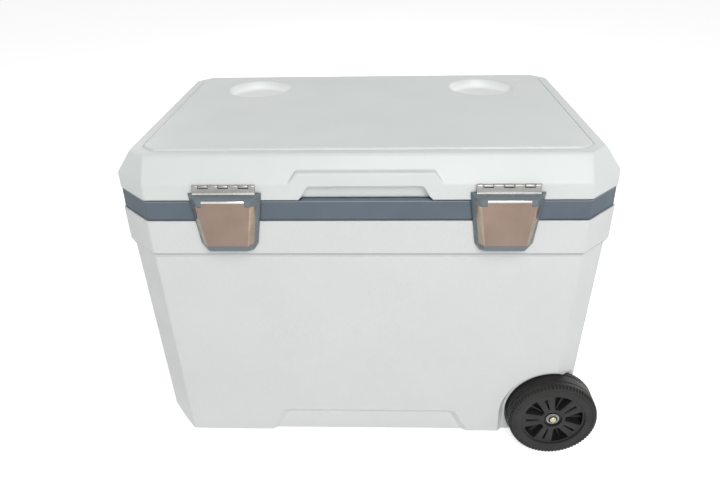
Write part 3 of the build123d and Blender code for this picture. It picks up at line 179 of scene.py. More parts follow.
finishes = {
    # color and second are the two ends of the soft patches; blotch and grain are the sizes of the
    # patches and of the fine texture, depth is how deep that texture goes, edge is how far the
    # shading rounds an edge, and paintedShelterReach is how near another surface has to stand for
    # paintedShelterColor to go on this one as painted shade (on the lid as painted light), all in
    # metres; paintedLightingLines are (height, half width, color) of painted shadow and highlight
    # lines, paintedCupLight is the color painted on the cups' floors as a painted highlight
    # painted shade: the body plastic darkens where another surface stands close, and a painted
    # shadow line runs round the body at 0.3316 m, under the collar
    "whitePlastic": {"color": (0.80, 0.815, 0.808), "second": (0.78, 0.797, 0.79),
                     "blotch": 0.09, "rough": 0.46, "roughChange": 0.08,
                     "grain": 0.0022, "depth": 0.00050, "metal": 0, "edge": 0.0012,
                     "paintedShelterReach": 0.0045, "paintedShelterColor": (0.30, 0.31, 0.31),
                     "paintedLightingLines": [(0.3316, 0.0010, (0.30, 0.305, 0.305))]},
    # painted light: where another surface stands close, as in the panel groove, the lid is painted
    # paler to cancel the shade there
    "lidPlastic": {"color": (0.80, 0.84, 0.832), "second": (0.78, 0.822, 0.812),
                   "blotch": 0.09, "rough": 0.40, "roughChange": 0.08,
                   "grain": 0.0011, "depth": 0.00003, "metal": 0, "edge": 0.0026,
                   "paintedShelterReach": 0.003, "paintedShelterColor": (0.90, 0.93, 0.925), "paintedCupLight": (0.96, 0.98, 0.975)},
    "linerPlastic": {"color": (0.84, 0.845, 0.84), "second": (0.81, 0.82, 0.815),
                     "blotch": 0.12, "rough": 0.36, "roughChange": 0.08,
                     "grain": 0.002, "depth": 0.00003, "metal": 0},
    "foamFill": {"color": (0.72, 0.66, 0.42), "second": (0.66, 0.58, 0.34),
                 "blotch": 0.02, "rough": 0.85, "roughChange": 0.1,
                 "grain": 0.0016, "depth": 0.0004, "metal": 0},
    # painted shade: this plastic darkens to near black where another surface stands close
    "greyPlastic": {"color": (0.142, 0.178, 0.215), "second": (0.124, 0.158, 0.195),
                    "blotch": 0.05, "rough": 0.50, "roughChange": 0.10, "shine": 0.32,
                    "grain": 0.0009, "depth": 0.00004, "metal": 0, "edge": 0.0010,
                    "paintedShelterReach": 0.005, "paintedShelterColor": (0.008, 0.012, 0.016)},
    # painted shade: the latch frame darkens where another surface stands close, as round the plate
    "latchPlastic": {"color": (0.168, 0.205, 0.222), "second": (0.150, 0.185, 0.202),
                     "blotch": 0.03, "rough": 0.26, "roughChange": 0.08,
                     "grain": 0.0008, "depth": 0.00002, "metal": 0,
                     "paintedShelterReach": 0.003, "paintedShelterColor": (0.02, 0.026, 0.032)},
    # painted highlight: a paler line at 0.4028 m along the band's top lip; painted shade: the band
    # darkens to near black where the lid stands close above it
    "bandPlastic": {"color": (0.158, 0.195, 0.232), "second": (0.140, 0.175, 0.212),
                    "blotch": 0.05, "rough": 0.52, "roughChange": 0.10, "shine": 0.12,
                    "grain": 0.0009, "depth": 0.00004, "metal": 0, "edge": 0.0008,
                    "paintedLightingLines": [(0.4028, 0.0007, (0.30, 0.345, 0.39))],
                    "paintedShelterReach": 0.004, "paintedShelterOpen": 0.92, "paintedShelterColor": (0.010, 0.014, 0.018)},
    # painted sheen: a paler, more metallic bronze for the latch plates' folded sides
    "paintedSheenBronze": {"color": (0.44, 0.36, 0.29), "second": (0.38, 0.305, 0.245),
                   "blotch": 0.02, "rough": 0.26, "roughChange": 0.08,
                   "grain": 0.0004, "depth": 0.00001, "metal": 0.85},
    # painted highlight: a near-white metal for the lips of the plate tabs and latch leaves
    "paintedHighlightLip": {"color": (0.80, 0.79, 0.77), "second": (0.70, 0.69, 0.67),
                   "blotch": 0.01, "rough": 0.22, "roughChange": 0.06,
                   "grain": 0.0004, "depth": 0.00001, "metal": 0.9},
    "bronzePlate": {"color": (0.33, 0.24, 0.19), "second": (0.285, 0.205, 0.16),
                    "blotch": 0.03, "rough": 0.36, "roughChange": 0.10,
                    "grain": 0.0005, "depth": 0.00003, "metal": 0.35},
    # painted shade: the steel darkens where another surface stands close, as in knuckles and screw
    # seats
    "hingeSteel": {"color": (0.36, 0.355, 0.335), "second": (0.29, 0.285, 0.27),
                   "blotch": 0.012, "rough": 0.34, "roughChange": 0.12,
                   "grain": 0.0006, "depth": 0.00003, "metal": 0.9,
                   "paintedShelterReach": 0.0014, "paintedShelterColor": (0.05, 0.048, 0.045)},
    "axleSteel": {"color": (0.47, 0.47, 0.46), "second": (0.38, 0.38, 0.37),
                  "blotch": 0.01, "rough": 0.38, "roughChange": 0.12,
                  "grain": 0.0006, "depth": 0.00003, "metal": 0.9},
    "zincYellow": {"color": (0.62, 0.55, 0.34), "second": (0.50, 0.46, 0.34),
                   "blotch": 0.006, "rough": 0.33, "roughChange": 0.12,
                   "grain": 0.0005, "depth": 0.00003, "metal": 0.85},
    "blackPlastic": {"color": (0.021, 0.021, 0.022), "second": (0.015, 0.015, 0.016),
                     "blotch": 0.03, "rough": 0.45, "roughChange": 0.10,
                     "grain": 0.0009, "depth": 0.00006, "metal": 0, "shine": 0.3},
    "tyreRubber": {"color": (0.032, 0.032, 0.031), "second": (0.024, 0.024, 0.023),
                   "blotch": 0.03, "rough": 0.62, "roughChange": 0.12,
                   "grain": 0.0008, "depth": 0.00008, "metal": 0, "shine": 0.3},
    "footRubber": {"color": (0.030, 0.030, 0.031), "second": (0.022, 0.022, 0.023),
                   "blotch": 0.02, "rough": 0.70, "roughChange": 0.10,
                   "grain": 0.0008, "depth": 0.00008, "metal": 0},
    "sealRubber": {"color": (0.10, 0.105, 0.11), "second": (0.08, 0.084, 0.088),
                   "blotch": 0.02, "rough": 0.60, "roughChange": 0.10,
                   "grain": 0.0008, "depth": 0.00005, "metal": 0},
    "railMetal": {"color": (0.46, 0.465, 0.47), "second": (0.40, 0.405, 0.41),
                  "blotch": 0.03, "rough": 0.30, "roughChange": 0.08,
                  "grain": 0.0004, "depth": 0.00002, "metal": 0.95},
}
finishMade = {}
# where the painted highlight on the lid's cup floors goes
paintedCupLight = {"radius": 0.0487, "soft": 0.006, "places": ((-0.1735, 0.1034), (0.1735, 0.1034))}
surface = {
    "shine": 0.5,            # where a finish gives none of its own
    "blotchDetail": 4,
    "blotchRange": (0.32, 0.68),
    "glossRange": (0.3, 0.7),
    "grainDetail": 2,
    "edgeSamples": 4,
    "paintedShelterOpen": 0.75,        # how open a place still is where the painted shade starts
    "paintedShelterFade": 0.45,        # how much less open it is where the painted shade is strongest
    "paintedShelterSamples": 8,
    "lineCore": 0.5,         # share of a line's half width in its full color
}


def mixColors(tree, amount, color, other):
    mix = tree.nodes.new("ShaderNodeMix")
    mix.data_type = "RGBA"
    tree.links.new(amount, mix.inputs["Factor"])
    tree.links.new(color, mix.inputs["A"])
    mix.inputs["B"].default_value = (*other, 1)
    return mix.outputs["Result"]


def rangeNode(tree, value, start, stop, low=0, high=1):
    # low where the value is at start, high where it is at stop
    node = tree.nodes.new("ShaderNodeMapRange")
    node.inputs["From Min"].default_value = start
    node.inputs["From Max"].default_value = stop
    node.inputs["To Min"].default_value = low
    node.inputs["To Max"].default_value = high
    tree.links.new(value, node.inputs["Value"])
    return node.outputs["Result"]


def noiseNode(tree, coords, size, detail):
    node = tree.nodes.new("ShaderNodeTexNoise")
    node.inputs["Scale"].default_value = 1 / size
    node.inputs["Detail"].default_value = detail
    tree.links.new(coords.outputs["Object"], node.inputs["Vector"])
    return node.outputs["Fac"]


def paintedShelterTint(tree, color, reach, openness, dark):
    # paints the given color where another surface stands close to it, as under the lid: painted
    # shade for the dark colors, painted light for the lid's pale one
    shelter = tree.nodes.new("ShaderNodeAmbientOcclusion")
    shelter.samples = surface["paintedShelterSamples"]
    shelter.inputs["Distance"].default_value = reach
    darkest = openness - surface["paintedShelterFade"]
    return mixColors(tree, rangeNode(tree, shelter.outputs["AO"], openness, darkest), color, dark)


def paintedLightingLine(tree, coords, color, height, half, shade):
    # a thin painted line round the whole piece at one height: a painted shadow under the body's
    # collar, a painted highlight along the band's top lip
    place = tree.nodes.new("ShaderNodeSeparateXYZ")
    tree.links.new(coords.outputs["Object"], place.inputs["Vector"])
    away = mathNode(tree, "ABSOLUTE", mathNode(tree, "SUBTRACT", place.outputs["Z"], height))
    inside = rangeNode(tree, away, half, half * surface["lineCore"])
    return mixColors(tree, inside, color, shade)


def paintedCupHighlight(tree, coords, color, pale):
    # paints the floors of the two cup recesses paler, as a painted highlight
    for x, y in paintedCupLight["places"]:
        away = tree.nodes.new("ShaderNodeVectorMath")
        away.operation = "MULTIPLY_ADD"
        away.inputs[1].default_value = (1, 1, 0)
        away.inputs[2].default_value = (-x, -y, 0)
        tree.links.new(coords.outputs["Object"], away.inputs[0])
        length = tree.nodes.new("ShaderNodeVectorMath")
        length.operation = "LENGTH"
        tree.links.new(away.outputs["Vector"], length.inputs[0])
        edge = paintedCupLight["radius"]
        inside = rangeNode(tree, length.outputs["Value"], edge, edge - paintedCupLight["soft"])
        color = mixColors(tree, inside, color, pale)
    return color


def makeFinish(name):
    if name in finishMade:
        return finishMade[name]
    look = finishes[name]
    paint = bpy.data.materials.new(name)
    paint.use_nodes = True
    tree = paint.node_tree
    shader = tree.nodes["Principled BSDF"]
    shader.inputs["Metallic"].default_value = look["metal"]
    shader.inputs["Specular IOR Level"].default_value = look.get("shine", surface["shine"])
    coords = tree.nodes.new("ShaderNodeTexCoord")

    blotches = noiseNode(tree, coords, look["blotch"], surface["blotchDetail"])
    tint = tree.nodes.new("ShaderNodeValToRGB")
    for stop, place, shade in zip(tint.color_ramp.elements, surface["blotchRange"],
                                  (look["color"], look["second"])):
        stop.position = place
        stop.color = (*shade, 1)
    tree.links.new(blotches, tint.inputs["Fac"])
    color = tint.outputs["Color"]
    # painted highlight on the cups' floors
    if "paintedCupLight" in look:
        color = paintedCupHighlight(tree, coords, color, look["paintedCupLight"])
    # painted shadow and highlight lines
    for height, half, shade in look.get("paintedLightingLines", ()):
        color = paintedLightingLine(tree, coords, color, height, half, shade)
    # painted shade where another surface stands close, painted light on the lid
    if "paintedShelterReach" in look:
        openness = look.get("paintedShelterOpen", surface["paintedShelterOpen"])
        color = paintedShelterTint(tree, color, look["paintedShelterReach"], openness, look["paintedShelterColor"])
    tree.links.new(color, shader.inputs["Base Color"])

    change = look["roughChange"] / 2
    gloss = rangeNode(tree, blotches, *surface["glossRange"],
                      look["rough"] - change, look["rough"] + change)
    tree.links.new(gloss, shader.inputs["Roughness"])

    relief = tree.nodes.new("ShaderNodeBump")
    relief.inputs["Distance"].default_value = look["depth"]
    relief.inputs["Strength"].default_value = 1
    if "edge" in look:
        edge = tree.nodes.new("ShaderNodeBevel")
        edge.inputs["Radius"].default_value = look["edge"]
        edge.samples = surface["edgeSamples"]
        tree.links.new(edge.outputs["Normal"], relief.inputs["Normal"])
    grain = noiseNode(tree, coords, look["grain"], surface["grainDetail"])
    tree.links.new(grain, relief.inputs["Height"])
    tree.links.new(relief.outputs["Normal"], shader.inputs["Normal"])
    finishMade[name] = paint
    return paint


nodeFinish = {
    "outer_shell": "whitePlastic",
    "inner_liner": "linerPlastic",
    "wall_foam": "foamFill",
    "rim_band": "bandPlastic",
    "rubber_feet": "footRubber",
    "foot_screws": "axleSteel",
    "axle": "axleSteel",
    "axle_washers": "hingeSteel",
    "axle_bolts": "zincYellow",
    "rear_hinge_body_leaves": "hingeSteel",
    "rear_hinge_body_screws": "hingeSteel",
    "rear_hinge_pins": "hingeSteel",
    "latch_keepers": "greyPlastic",
    "latch_keeper_screws": "hingeSteel",
    "pull_handle_outer_rails": "railMetal",
    "pull_handle_upper_bracket": "greyPlastic",
    "pull_handle_lower_bracket": "greyPlastic",
    "pull_handle_screws": "hingeSteel",
    "carry_handle_brackets": "greyPlastic",
    "carry_handle_screws": "hingeSteel",
    "drain_bushing": "greyPlastic",
    "lid_shell": "lidPlastic",
    "lid_foam": "foamFill",
    "lid_liner": "linerPlastic",
    "lid_gasket": "sealRubber",
    "rear_hinge_lid_leaves": "hingeSteel",
    "rear_hinge_lid_screws": "hingeSteel",
    "latch_hinge_lid_leaves": "hingeSteel",
    "latch_hinge_pins": "hingeSteel",
    "latch_hinge_screws": "hingeSteel",
    "latch_left_frame": "latchPlastic",
    "latch_left_plate": "bronzePlate",
    "latch_left_leaf": "hingeSteel",
    "latch_right_frame": "latchPlastic",
    "latch_right_plate": "bronzePlate",
    "latch_right_leaf": "hingeSteel",
    "wheel_front_hub": "blackPlastic",
    "wheel_front_tyre": "tyreRubber",
    "wheel_rear_hub": "blackPlastic",
    "wheel_rear_tyre": "tyreRubber",
    "pull_handle_mid_rails": "railMetal",
    "pull_handle_inner_rails": "railMetal",
    "pull_handle_grip": "greyPlastic",
    "pull_handle_button": "blackPlastic",
    "carry_handle_bail": "greyPlastic",
    "carry_handle_grip": "blackPlastic",
    "drain_seal": "sealRubber",
    "drain_plug": "greyPlastic",
}

for nodeName, finishName in nodeFinish.items():
    slots = nodes[nodeName].data.materials
    paint = makeFinish(finishName)
    if slots:
        for index in range(len(slots)):
            slots[index] = paint
    else:
        slots.append(paint)
print("cool box: finishes on", len(nodeFinish), "nodes")


# softened copies of hard moulded and pressed pieces

softened = {
    # node: (edge radius in m, steps, slot)
    "latch_left_frame": (0.0011, 3, "grey_plastic"),
    "latch_right_frame": (0.0011, 3, "grey_plastic"),
    "latch_left_plate": (0.00055, 2, "bronze_plate"),
    "latch_right_plate": (0.00055, 2, "bronze_plate"),
    "latch_left_leaf": (0.00045, 2, "hinge_steel"),
    "latch_right_leaf": (0.00045, 2, "hinge_steel"),
    "latch_hinge_lid_leaves": (0.00045, 2, "hinge_steel"),
    "latch_keepers": (0.0007, 2, "grey_plastic"),
    "wheel_front_hub": (0.0005, 2, "black_plastic"),
    "wheel_rear_hub": (0.0005, 2, "black_plastic"),
    "pull_handle_grip": (0.0026, 4, "grey_plastic"),
    "pull_handle_upper_bracket": (0.0012, 3, "grey_plastic"),
    "pull_handle_lower_bracket": (0.0012, 3, "grey_plastic"),
    "carry_handle_bail": (0.0011, 3, "grey_plastic"),
    "carry_handle_brackets": (0.0009, 2, "grey_plastic"),
    "drain_plug": (0.0007, 2, "grey_plastic"),
    "rubber_feet": (0.0010, 2, "foot_rubber"),
}
bodyOf = {node: body for body, members in frame["record"]["behaviour"]["bodies"].items()
          for node in members}
bevel = {"sharpFrom": 28, "profile": 0.5}        # edges bent by more degrees than this are rounded
weld = {"reach": 0.00001, "flat": 0.6}           # triangles that differ by fewer degrees merge
pressed = {
    # node: (finish of its lip, painted bright as a highlight, finish of its folded sides, paler
    # bronze as painted sheen on the plates)
    "latch_left_plate": ("paintedHighlightLip", "paintedSheenBronze"),
    "latch_right_plate": ("paintedHighlightLip", "paintedSheenBronze"),
    "latch_left_leaf": ("paintedHighlightLip", "hingeSteel"),
    "latch_right_leaf": ("paintedHighlightLip", "hingeSteel"),
}
plateLip = {"height": 0.0024, "lean": 0.0007}
plateSide = 0.30                 # how far a folded side's normal has to turn from the front to take the painted sheen
leafLip = {"low": 0.4148, "high": 0.4166, "stand": 0.0006}
cutReach = {"plane": 0.000001, "vert": 0.00001}


def addPiece(name, bm, node, finish, smoothBelow=40):
    # a finished mesh that stands for a node and rides on its body
    mesh = bpy.data.meshes.new(name)
    bm.to_mesh(mesh)
    bm.free()
    for face in mesh.polygons:
        face.use_smooth = True
    mesh.set_sharp_from_angle(angle=math.radians(smoothBelow))
    mesh.materials.append(makeFinish(finish))
    for extra in pressed.get(node, ()):
        mesh.materials.append(makeFinish(extra))
    piece = bpy.data.objects.new(name, mesh)
    bpy.context.scene.collection.objects.link(piece)
    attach(piece, bodyOf[node])
    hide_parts(node)
    return piece


def weldedMesh(node):
    # the node's mesh with its seams joined and its flat triangles merged
    bm = bmesh.new()
    bm.from_mesh(nodes[node].data)
    bmesh.ops.remove_doubles(bm, verts=bm.verts, dist=weld["reach"])
    bmesh.ops.dissolve_limit(bm, angle_limit=math.radians(weld["flat"]), verts=bm.verts,
                             edges=bm.edges)
    return bm


def cutAcross(bm, height):
    # new edges all round the piece at one height
    every = list(bm.verts) + list(bm.edges) + list(bm.faces)
    bmesh.ops.bisect_plane(bm, geom=every, dist=cutReach["plane"], plane_co=(0, 0, height),
                           plane_no=(0, 0, 1))


def finishPlate(bm, top):
    # the tab's upper edge leans back and is painted bright as a painted highlight, the folded
    # sides are painted paler as painted sheen
    lipFrom = top - plateLip["height"]
    cutAcross(bm, lipFrom)
    for vert in bm.verts:
        if vert.co.z > lipFrom:
            vert.co.y += plateLip["lean"] * (vert.co.z - lipFrom) / plateLip["height"]
    bm.normal_update()
    for face in bm.faces:
        if face.calc_center_median().z > lipFrom:
            face.material_index = 1
        elif abs(face.normal.x) > plateSide:
            face.material_index = 2


def finishLeaf(bm):
    # a rolled lip where the leaf goes into the latch, painted bright as a painted highlight
    middle = (leafLip["low"] + leafLip["high"]) / 2
    for height in (leafLip["low"], middle, leafLip["high"]):
        cutAcross(bm, height)
    for vert in bm.verts:
        if abs(vert.co.z - middle) < cutReach["vert"]:
            vert.co.y -= leafLip["stand"]
    bm.normal_update()
    for face in bm.faces:
        if leafLip["low"] < face.calc_center_median().z < leafLip["high"]:
            face.material_index = 1


for node, (radius, steps, slot) in softened.items():
    bm = weldedMesh(node)
    bend = math.radians(bevel["sharpFrom"])
    hard = [edge for edge in bm.edges
            if len(edge.link_faces) == 2 and edge.calc_face_angle(0) > bend]
    bmesh.ops.bevel(bm, geom=hard, offset=radius, offset_type="OFFSET", segments=steps,
                    profile=bevel["profile"], affect="EDGES", clamp_overlap=True)
    if node.endswith("_plate"):
        finishPlate(bm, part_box(node)[1].z)
    elif node.endswith("_leaf"):
        finishLeaf(bm)
    addPiece("soft_" + node, bm, node, nodeFinish[node])
print("cool box: softened", len(softened), "pieces")


# tyres with a toothed tread

tyre = {
    "teeth": 76,
    "toothSteps": 6,
    "gapSteps": 3,           # how many of those steps lie between two teeth
    "toothDepth": 0.0020,
    "toothWidth": 0.0058,    # how far the teeth reach in from each face
    "toothStart": 0.0003,    # half the width of the slope where the teeth start
    "toothDrop": 0.0002,     # and that slope's height
    "grooveDepth": 0.0014,
    "grooveAt": 0.0078,      # middle of the tyre to each groove
    "grooveTop": 0.0014,     # half its width at the tread
    "grooveFloor": 0.0009,   # half its width at its floor
    # in from the face, down from the tread, share of the tooth's depth that a gap takes
    "shoulder": ((0.0026, 0.0009, 1), (0.0009, 0.0019, 1), (0.0002, 0.0030, 0.7),
                 (0, 0.0042, 0), (0, 0.0064, 0)),
    "sideGroove": ((0.0005, 0.0068, 0), (0.0005, 0.0074, 0), (0, 0.0078, 0)),
    "opening": 0.0445,
    "mouth": ((0.0002, 0.0014), (0.0008, 0.0004), (0.0016, 0)),   # in, and larger than the opening
    "bore": 0.0481,
    "lip": 0.0030,
}


def aroundAxle(centre, y, radius, angle):
    return (centre.x + radius * math.cos(angle), y, centre.z + radius * math.sin(angle))


def joinRings(bm, rings):
    # faces from each section to the next, all the way round
    for step, here in enumerate(rings):
        ahead = rings[(step + 1) % len(rings)]
        for index in range(len(here)):
            after = (index + 1) % len(here)
            bm.faces.new((here[index], here[after], ahead[after], ahead[index]))
    bmesh.ops.recalc_face_normals(bm, faces=bm.faces)


def tyrePiece(node):
    low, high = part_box(node)
    middle = (low + high) / 2
    half = (high.y - low.y) / 2
    radius = (high.x - low.x) / 2
    tooth = half - tyre["toothWidth"]
    groove = tyre["grooveAt"]
    grooveFloor = radius - tyre["grooveDepth"]
    # distance from the middle, radius, share of the tooth's depth that a gap takes
    outside = [
        (0, radius, 0),
        (groove - tyre["grooveTop"], radius, 0), (groove - tyre["grooveFloor"], grooveFloor, 0),
        (groove + tyre["grooveFloor"], grooveFloor, 0), (groove + tyre["grooveTop"], radius, 0),
        (tooth - tyre["toothStart"], radius, 0),
        (tooth + tyre["toothStart"], radius - tyre["toothDrop"], 1),
    ]
    for inward, down, share in tyre["shoulder"] + tyre["sideGroove"]:
        outside.append((half - inward, radius - down, share))
    for inward, out in tyre["mouth"]:
        outside.append((half - inward, tyre["opening"] + out, 0))
    for edge in ("opening", "bore"):
        outside.append((half - tyre["lip"], tyre[edge], 0))
    section = outside + [(-away, r, share) for away, r, share in reversed(outside) if away > 0]
    bm = bmesh.new()
    turns = tyre["teeth"] * tyre["toothSteps"]
    rings = []
    for step in range(turns):
        angle = 2 * math.pi * step / turns
        gap = step % tyre["toothSteps"] >= tyre["toothSteps"] - tyre["gapSteps"]
        ring = []
        for away, r, share in section:
            if gap:
                r -= tyre["toothDepth"] * share
            ring.append(bm.verts.new(aroundAxle(middle, middle.y + away, r, angle)))
        rings.append(ring)
    joinRings(bm, rings)
    addPiece("toothed_" + node, bm, node, nodeFinish[node], smoothBelow=24)


for node in ("wheel_front_tyre", "wheel_rear_tyre"):
    tyrePiece(node)
print("cool box: tyres")


# the drain's rubber ring, a touch slack so that it never cuts into the plug

sealSlack = 0.00006


def slackSeal(node):
    bm = weldedMesh(node)
    bm.normal_update()
    places = [vert.co - vert.normal * sealSlack for vert in bm.verts]
    for vert, place in zip(bm.verts, places):
        vert.co = place
    addPiece("slack_" + node, bm, node, nodeFinish[node], smoothBelow=60)


slackSeal("drain_seal")
print("cool box: drain ring")


# domed bolt heads in their cupped washers

wheelBolt = {
    "steps": 40,
    "dome": 0.0046,
    "neck": 0.8,             # share of the dome's radius
    "neckDepth": 0.0015,
    "shoulder": 0.35,        # share of the head's height that is straight
    "domeSteps": 6,
    "flat": 0.0003,
    "edge": ((0.98, -0.0014), (1, -0.0008), (1, -0.0002)),   # share of the radius, height
    "rim": 0.0078,
    "rimOutside": ((0, 0), (0.0002, 0.7), (0.0007, 1)),      # in from the rim, share of its stand
    "rimInside": 0.0062,
    "rimSlope": ((0.0004, 1), (0, 0.6)),                     # out from its inside, the same share
    "rimStand": 0.0011,
    "floor": 0.0004,
    "floorEdge": 0.0003,     # in from the rim's inside
    "floorHole": 0.9,        # share of the dome's radius
    "paintedShadeEdge": 0.0001,      # how far inside the rim the floor painted black as painted shade starts
}


def spun(bm, section, centre, outward):
    # turns (radius, height) points round the axle line; outward is -1 for the front wheel
    steps = wheelBolt["steps"]
    rings = []
    for radius, height in section:
        y = centre.y + outward * height
        rings.append([bm.verts.new(aroundAxle(centre, y, radius, 2 * math.pi * step / steps))
                      for step in range(steps)])
    for below, above in zip(rings, rings[1:]):
        for step in range(steps):
            after = (step + 1) % steps
            bm.faces.new((below[step], below[after], above[after], above[step]))
    bm.faces.new(rings[0])
    bm.faces.new(rings[-1])


def headSection(tall):
    dome = wheelBolt["dome"]
    straight = wheelBolt["shoulder"]
    section = [(dome * wheelBolt["neck"], -wheelBolt["neckDepth"]), (dome, 0),
               (dome, tall * straight)]
    for step in range(1, wheelBolt["domeSteps"] + 1):
        turn = math.radians(90 / wheelBolt["domeSteps"] * step)
        section.append((dome * math.cos(turn) + wheelBolt["flat"],
                        tall * (straight + (1 - straight) * math.sin(turn))))
    return section


def washerSection(outer):
    stand = wheelBolt["rimStand"]
    inside = wheelBolt["rimInside"]
    section = [(outer * share, height) for share, height in wheelBolt["edge"]]
    section += [(wheelBolt["rim"] - inward, stand * share)
                for inward, share in wheelBolt["rimOutside"]]
    section += [(inside + out, stand * share) for out, share in wheelBolt["rimSlope"]]
    section += [(inside - wheelBolt["floorEdge"], -wheelBolt["floor"]),
                (wheelBolt["dome"] * wheelBolt["floorHole"], -wheelBolt["floor"])]
    return section


def boltAndWasher():
    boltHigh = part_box("axle_bolts")[1]
    washerLow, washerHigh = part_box("axle_washers")
    middle = (washerLow + washerHigh) / 2
    heads = bmesh.new()
    washers = bmesh.new()
    for outward in (-1, 1):
        centre = Vector((middle.x, middle.y + outward * (washerHigh.y - middle.y), middle.z))
        spun(heads, headSection(boltHigh.y - washerHigh.y), centre, outward)
        spun(washers, washerSection((washerHigh.x - washerLow.x) / 2), centre, outward)
    for bm in (heads, washers):
        bmesh.ops.recalc_face_normals(bm, faces=bm.faces)
    # painted shade: the washers' sunken floors take black plastic for the shade in their recess
    dark = wheelBolt["rimInside"] - wheelBolt["paintedShadeEdge"]
    for face in washers.faces:
        away = face.calc_center_median()
        if math.hypot(away.x - middle.x, away.z - middle.z) < dark:
            face.material_index = 1
    addPiece("domed_axle_bolts", heads, "axle_bolts", nodeFinish["axle_bolts"])
    cupped = addPiece("cupped_axle_washers", washers, "axle_washers", nodeFinish["axle_washers"])
    # the black plastic of the washers' painted shade
    cupped.data.materials.append(makeFinish("blackPlastic"))


boltAndWasher()
print("cool box: bolts and washers")


# cross-recessed screws

screwSets = {
    # node: (outward direction, finish, slot)
    "latch_hinge_screws": ((0, -1, 0), "hingeSteel", "hinge_steel"),
    "latch_keeper_screws": ((0, -1, 0), "hingeSteel", "hinge_steel"),
    "rear_hinge_body_screws": ((0, 1, 0), "hingeSteel", "hinge_steel"),
    "rear_hinge_lid_screws": ((0, 1, 0), "hingeSteel", "hinge_steel"),
    "pull_handle_screws": ((1, 0, 0), "axleSteel", "hinge_steel"),
    "carry_handle_screws": ((-1, 0, 0), "axleSteel", "hinge_steel"),
}
screwShape = {
    "sides": 28,
    "edge": 0.0002,          # the head's thin straight edge, in metres
    "arm": 0.60,             # this and the next three are shares of the head's radius
    "slot": 0.19,
    "deep": 0.45,
    "shank": 0.5,
    "crossFloor": 0.8,       # the cross at its floor, as a share of its size at the top
}


def nodeIslands(node):
    # lowest and highest corner of each separate solid in a node
    bm = weldedMesh(node)
    left = set(bm.verts)
    boxes = []
    while left:
        reached = [left.pop()]
        corners = []
        while reached:
            vert = reached.pop()
            corners.append(vert.co.copy())
            for edge in vert.link_edges:
                other = edge.other_vert(vert)
                if other in left:
                    left.remove(other)
                    reached.append(other)
        boxes.append((Vector([min(c[i] for c in corners) for i in range(3)]),
                      Vector([max(c[i] for c in corners) for i in range(3)])))
    bm.free()
    return sorted(boxes, key=lambda box: tuple(box[0]))


def screwCircle(bm, place, radius, height):
    sides = screwShape["sides"]
    return [bm.verts.new(place @ Vector((radius * math.cos(2 * math.pi * k / sides),
                                         radius * math.sin(2 * math.pi * k / sides), height)))
            for k in range(sides)]


def addScrew(bm, place, head, length):
    # one countersunk screw; place turns its own Z outward and puts it on its seat
    arm = head * screwShape["arm"]
    slot = head * screwShape["slot"]
    shank = head * screwShape["shank"]
    floor = Vector((0, 0, head * screwShape["deep"]))
    rim = screwCircle(bm, place, head, 0)
    cross = []
    for quarter in range(4):
        turned = Matrix.Rotation(quarter * math.pi / 2, 3, "Z")
        for corner in ((slot, slot, 0), (slot, arm, 0), (-slot, arm, 0)):
            cross.append(turned @ Vector(corner))
    high = [bm.verts.new(place @ corner) for corner in cross]
    low = [bm.verts.new(place @ (corner * screwShape["crossFloor"] - floor)) for corner in cross]
    outline = [bm.edges.new((loop[k], loop[(k + 1) % len(loop)]))
               for loop in (rim, high) for k in range(len(loop))]
    bmesh.ops.triangle_fill(bm, use_beauty=True, edges=outline)
    for k in range(len(cross)):
        after = (k + 1) % len(cross)
        bm.faces.new((high[k], high[after], low[after], low[k]))
    bm.faces.new(low)
    rows = [rim]
    edge = -screwShape["edge"]
    for radius, height in ((head, edge), (shank, edge - (head - shank)), (shank, -length)):
        rows.append(screwCircle(bm, place, radius, height))
    for row, nextRow in zip(rows, rows[1:]):
        for k in range(len(row)):
            after = (k + 1) % len(row)
            bm.faces.new((row[k], row[after], nextRow[after], nextRow[k]))
    bm.faces.new(rows[-1])


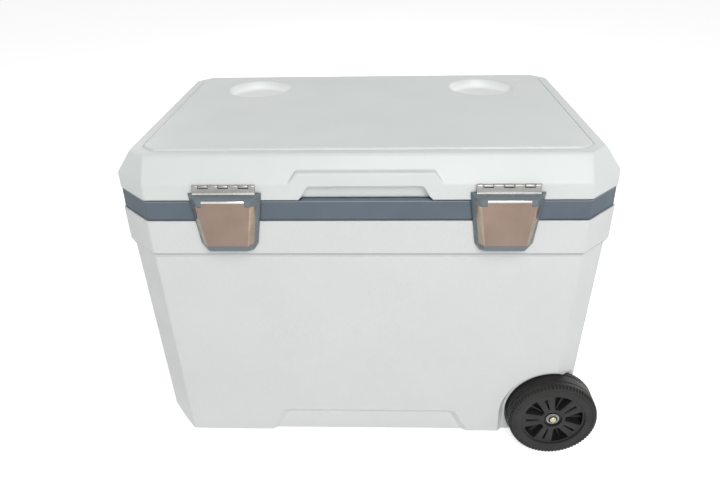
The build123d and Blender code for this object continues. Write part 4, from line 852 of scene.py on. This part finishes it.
for node, (outward, finish, slot) in screwSets.items():
    out = Vector(outward)
    axis = [abs(part) for part in outward].index(1)
    bm = bmesh.new()
    for low, high in nodeIslands(node):
        seat = (low + high) / 2
        seat[axis] = high[axis] if out[axis] > 0 else low[axis]
        across = [high[i] - low[i] for i in range(3) if i != axis]
        head = min(across) / 2
        spin = Matrix.Rotation(random.uniform(0, math.pi / 2), 4, "Z")
        turned = out.to_track_quat("Z", "Y").to_matrix().to_4x4()
        addScrew(bm, Matrix.Translation(seat) @ turned @ spin, head, high[axis] - low[axis])
    bmesh.ops.recalc_face_normals(bm, faces=bm.faces)
    addPiece("crossed_" + node, bm, node, finish, smoothBelow=30)
print("cool box: screws")


# the end handle's ribbed grip

carryGrip = {
    "ribs": 13,
    "ribDepth": 0.0009,
    "ribGap": 0.0016,
    "gapFloor": 0.6,         # share of the gap's width that its floor has
    "endRound": 0.0022,
    "endCorner": 0.3,        # share of the round cut off at its middle
    "margin": 0.007,         # each end to the middle of the first gap
    "bore": 0.0061,
    "steps": 48,
}


def ribbedGrip(node):
    low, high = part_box(node)
    middle = (low + high) / 2
    radius = (high.z - low.z) / 2
    bore = carryGrip["bore"]
    ends = carryGrip["endRound"]
    corner = ends * carryGrip["endCorner"]
    section = [(low.y, bore), (low.y, radius - ends), (low.y + corner, radius - corner),
               (low.y + ends, radius)]
    first = low.y + carryGrip["margin"]
    pitch = (high.y - low.y - 2 * carryGrip["margin"]) / (carryGrip["ribs"] - 1)
    gap = carryGrip["ribGap"] / 2
    floor = gap * carryGrip["gapFloor"]
    deep = radius - carryGrip["ribDepth"]
    for rib in range(carryGrip["ribs"]):
        at = first + rib * pitch
        section += [(at - gap, radius), (at - floor, deep), (at + floor, deep), (at + gap, radius)]
    section += [(high.y - ends, radius), (high.y - corner, radius - corner),
                (high.y, radius - ends), (high.y, bore)]
    bm = bmesh.new()
    steps = carryGrip["steps"]
    rings = [[bm.verts.new(aroundAxle(middle, y, r, 2 * math.pi * step / steps))
              for y, r in section] for step in range(steps)]
    joinRings(bm, rings)
    addPiece("ribbed_" + node, bm, node, nodeFinish[node], smoothBelow=35)


ribbedGrip("carry_handle_grip")
print("cool box: end grip")
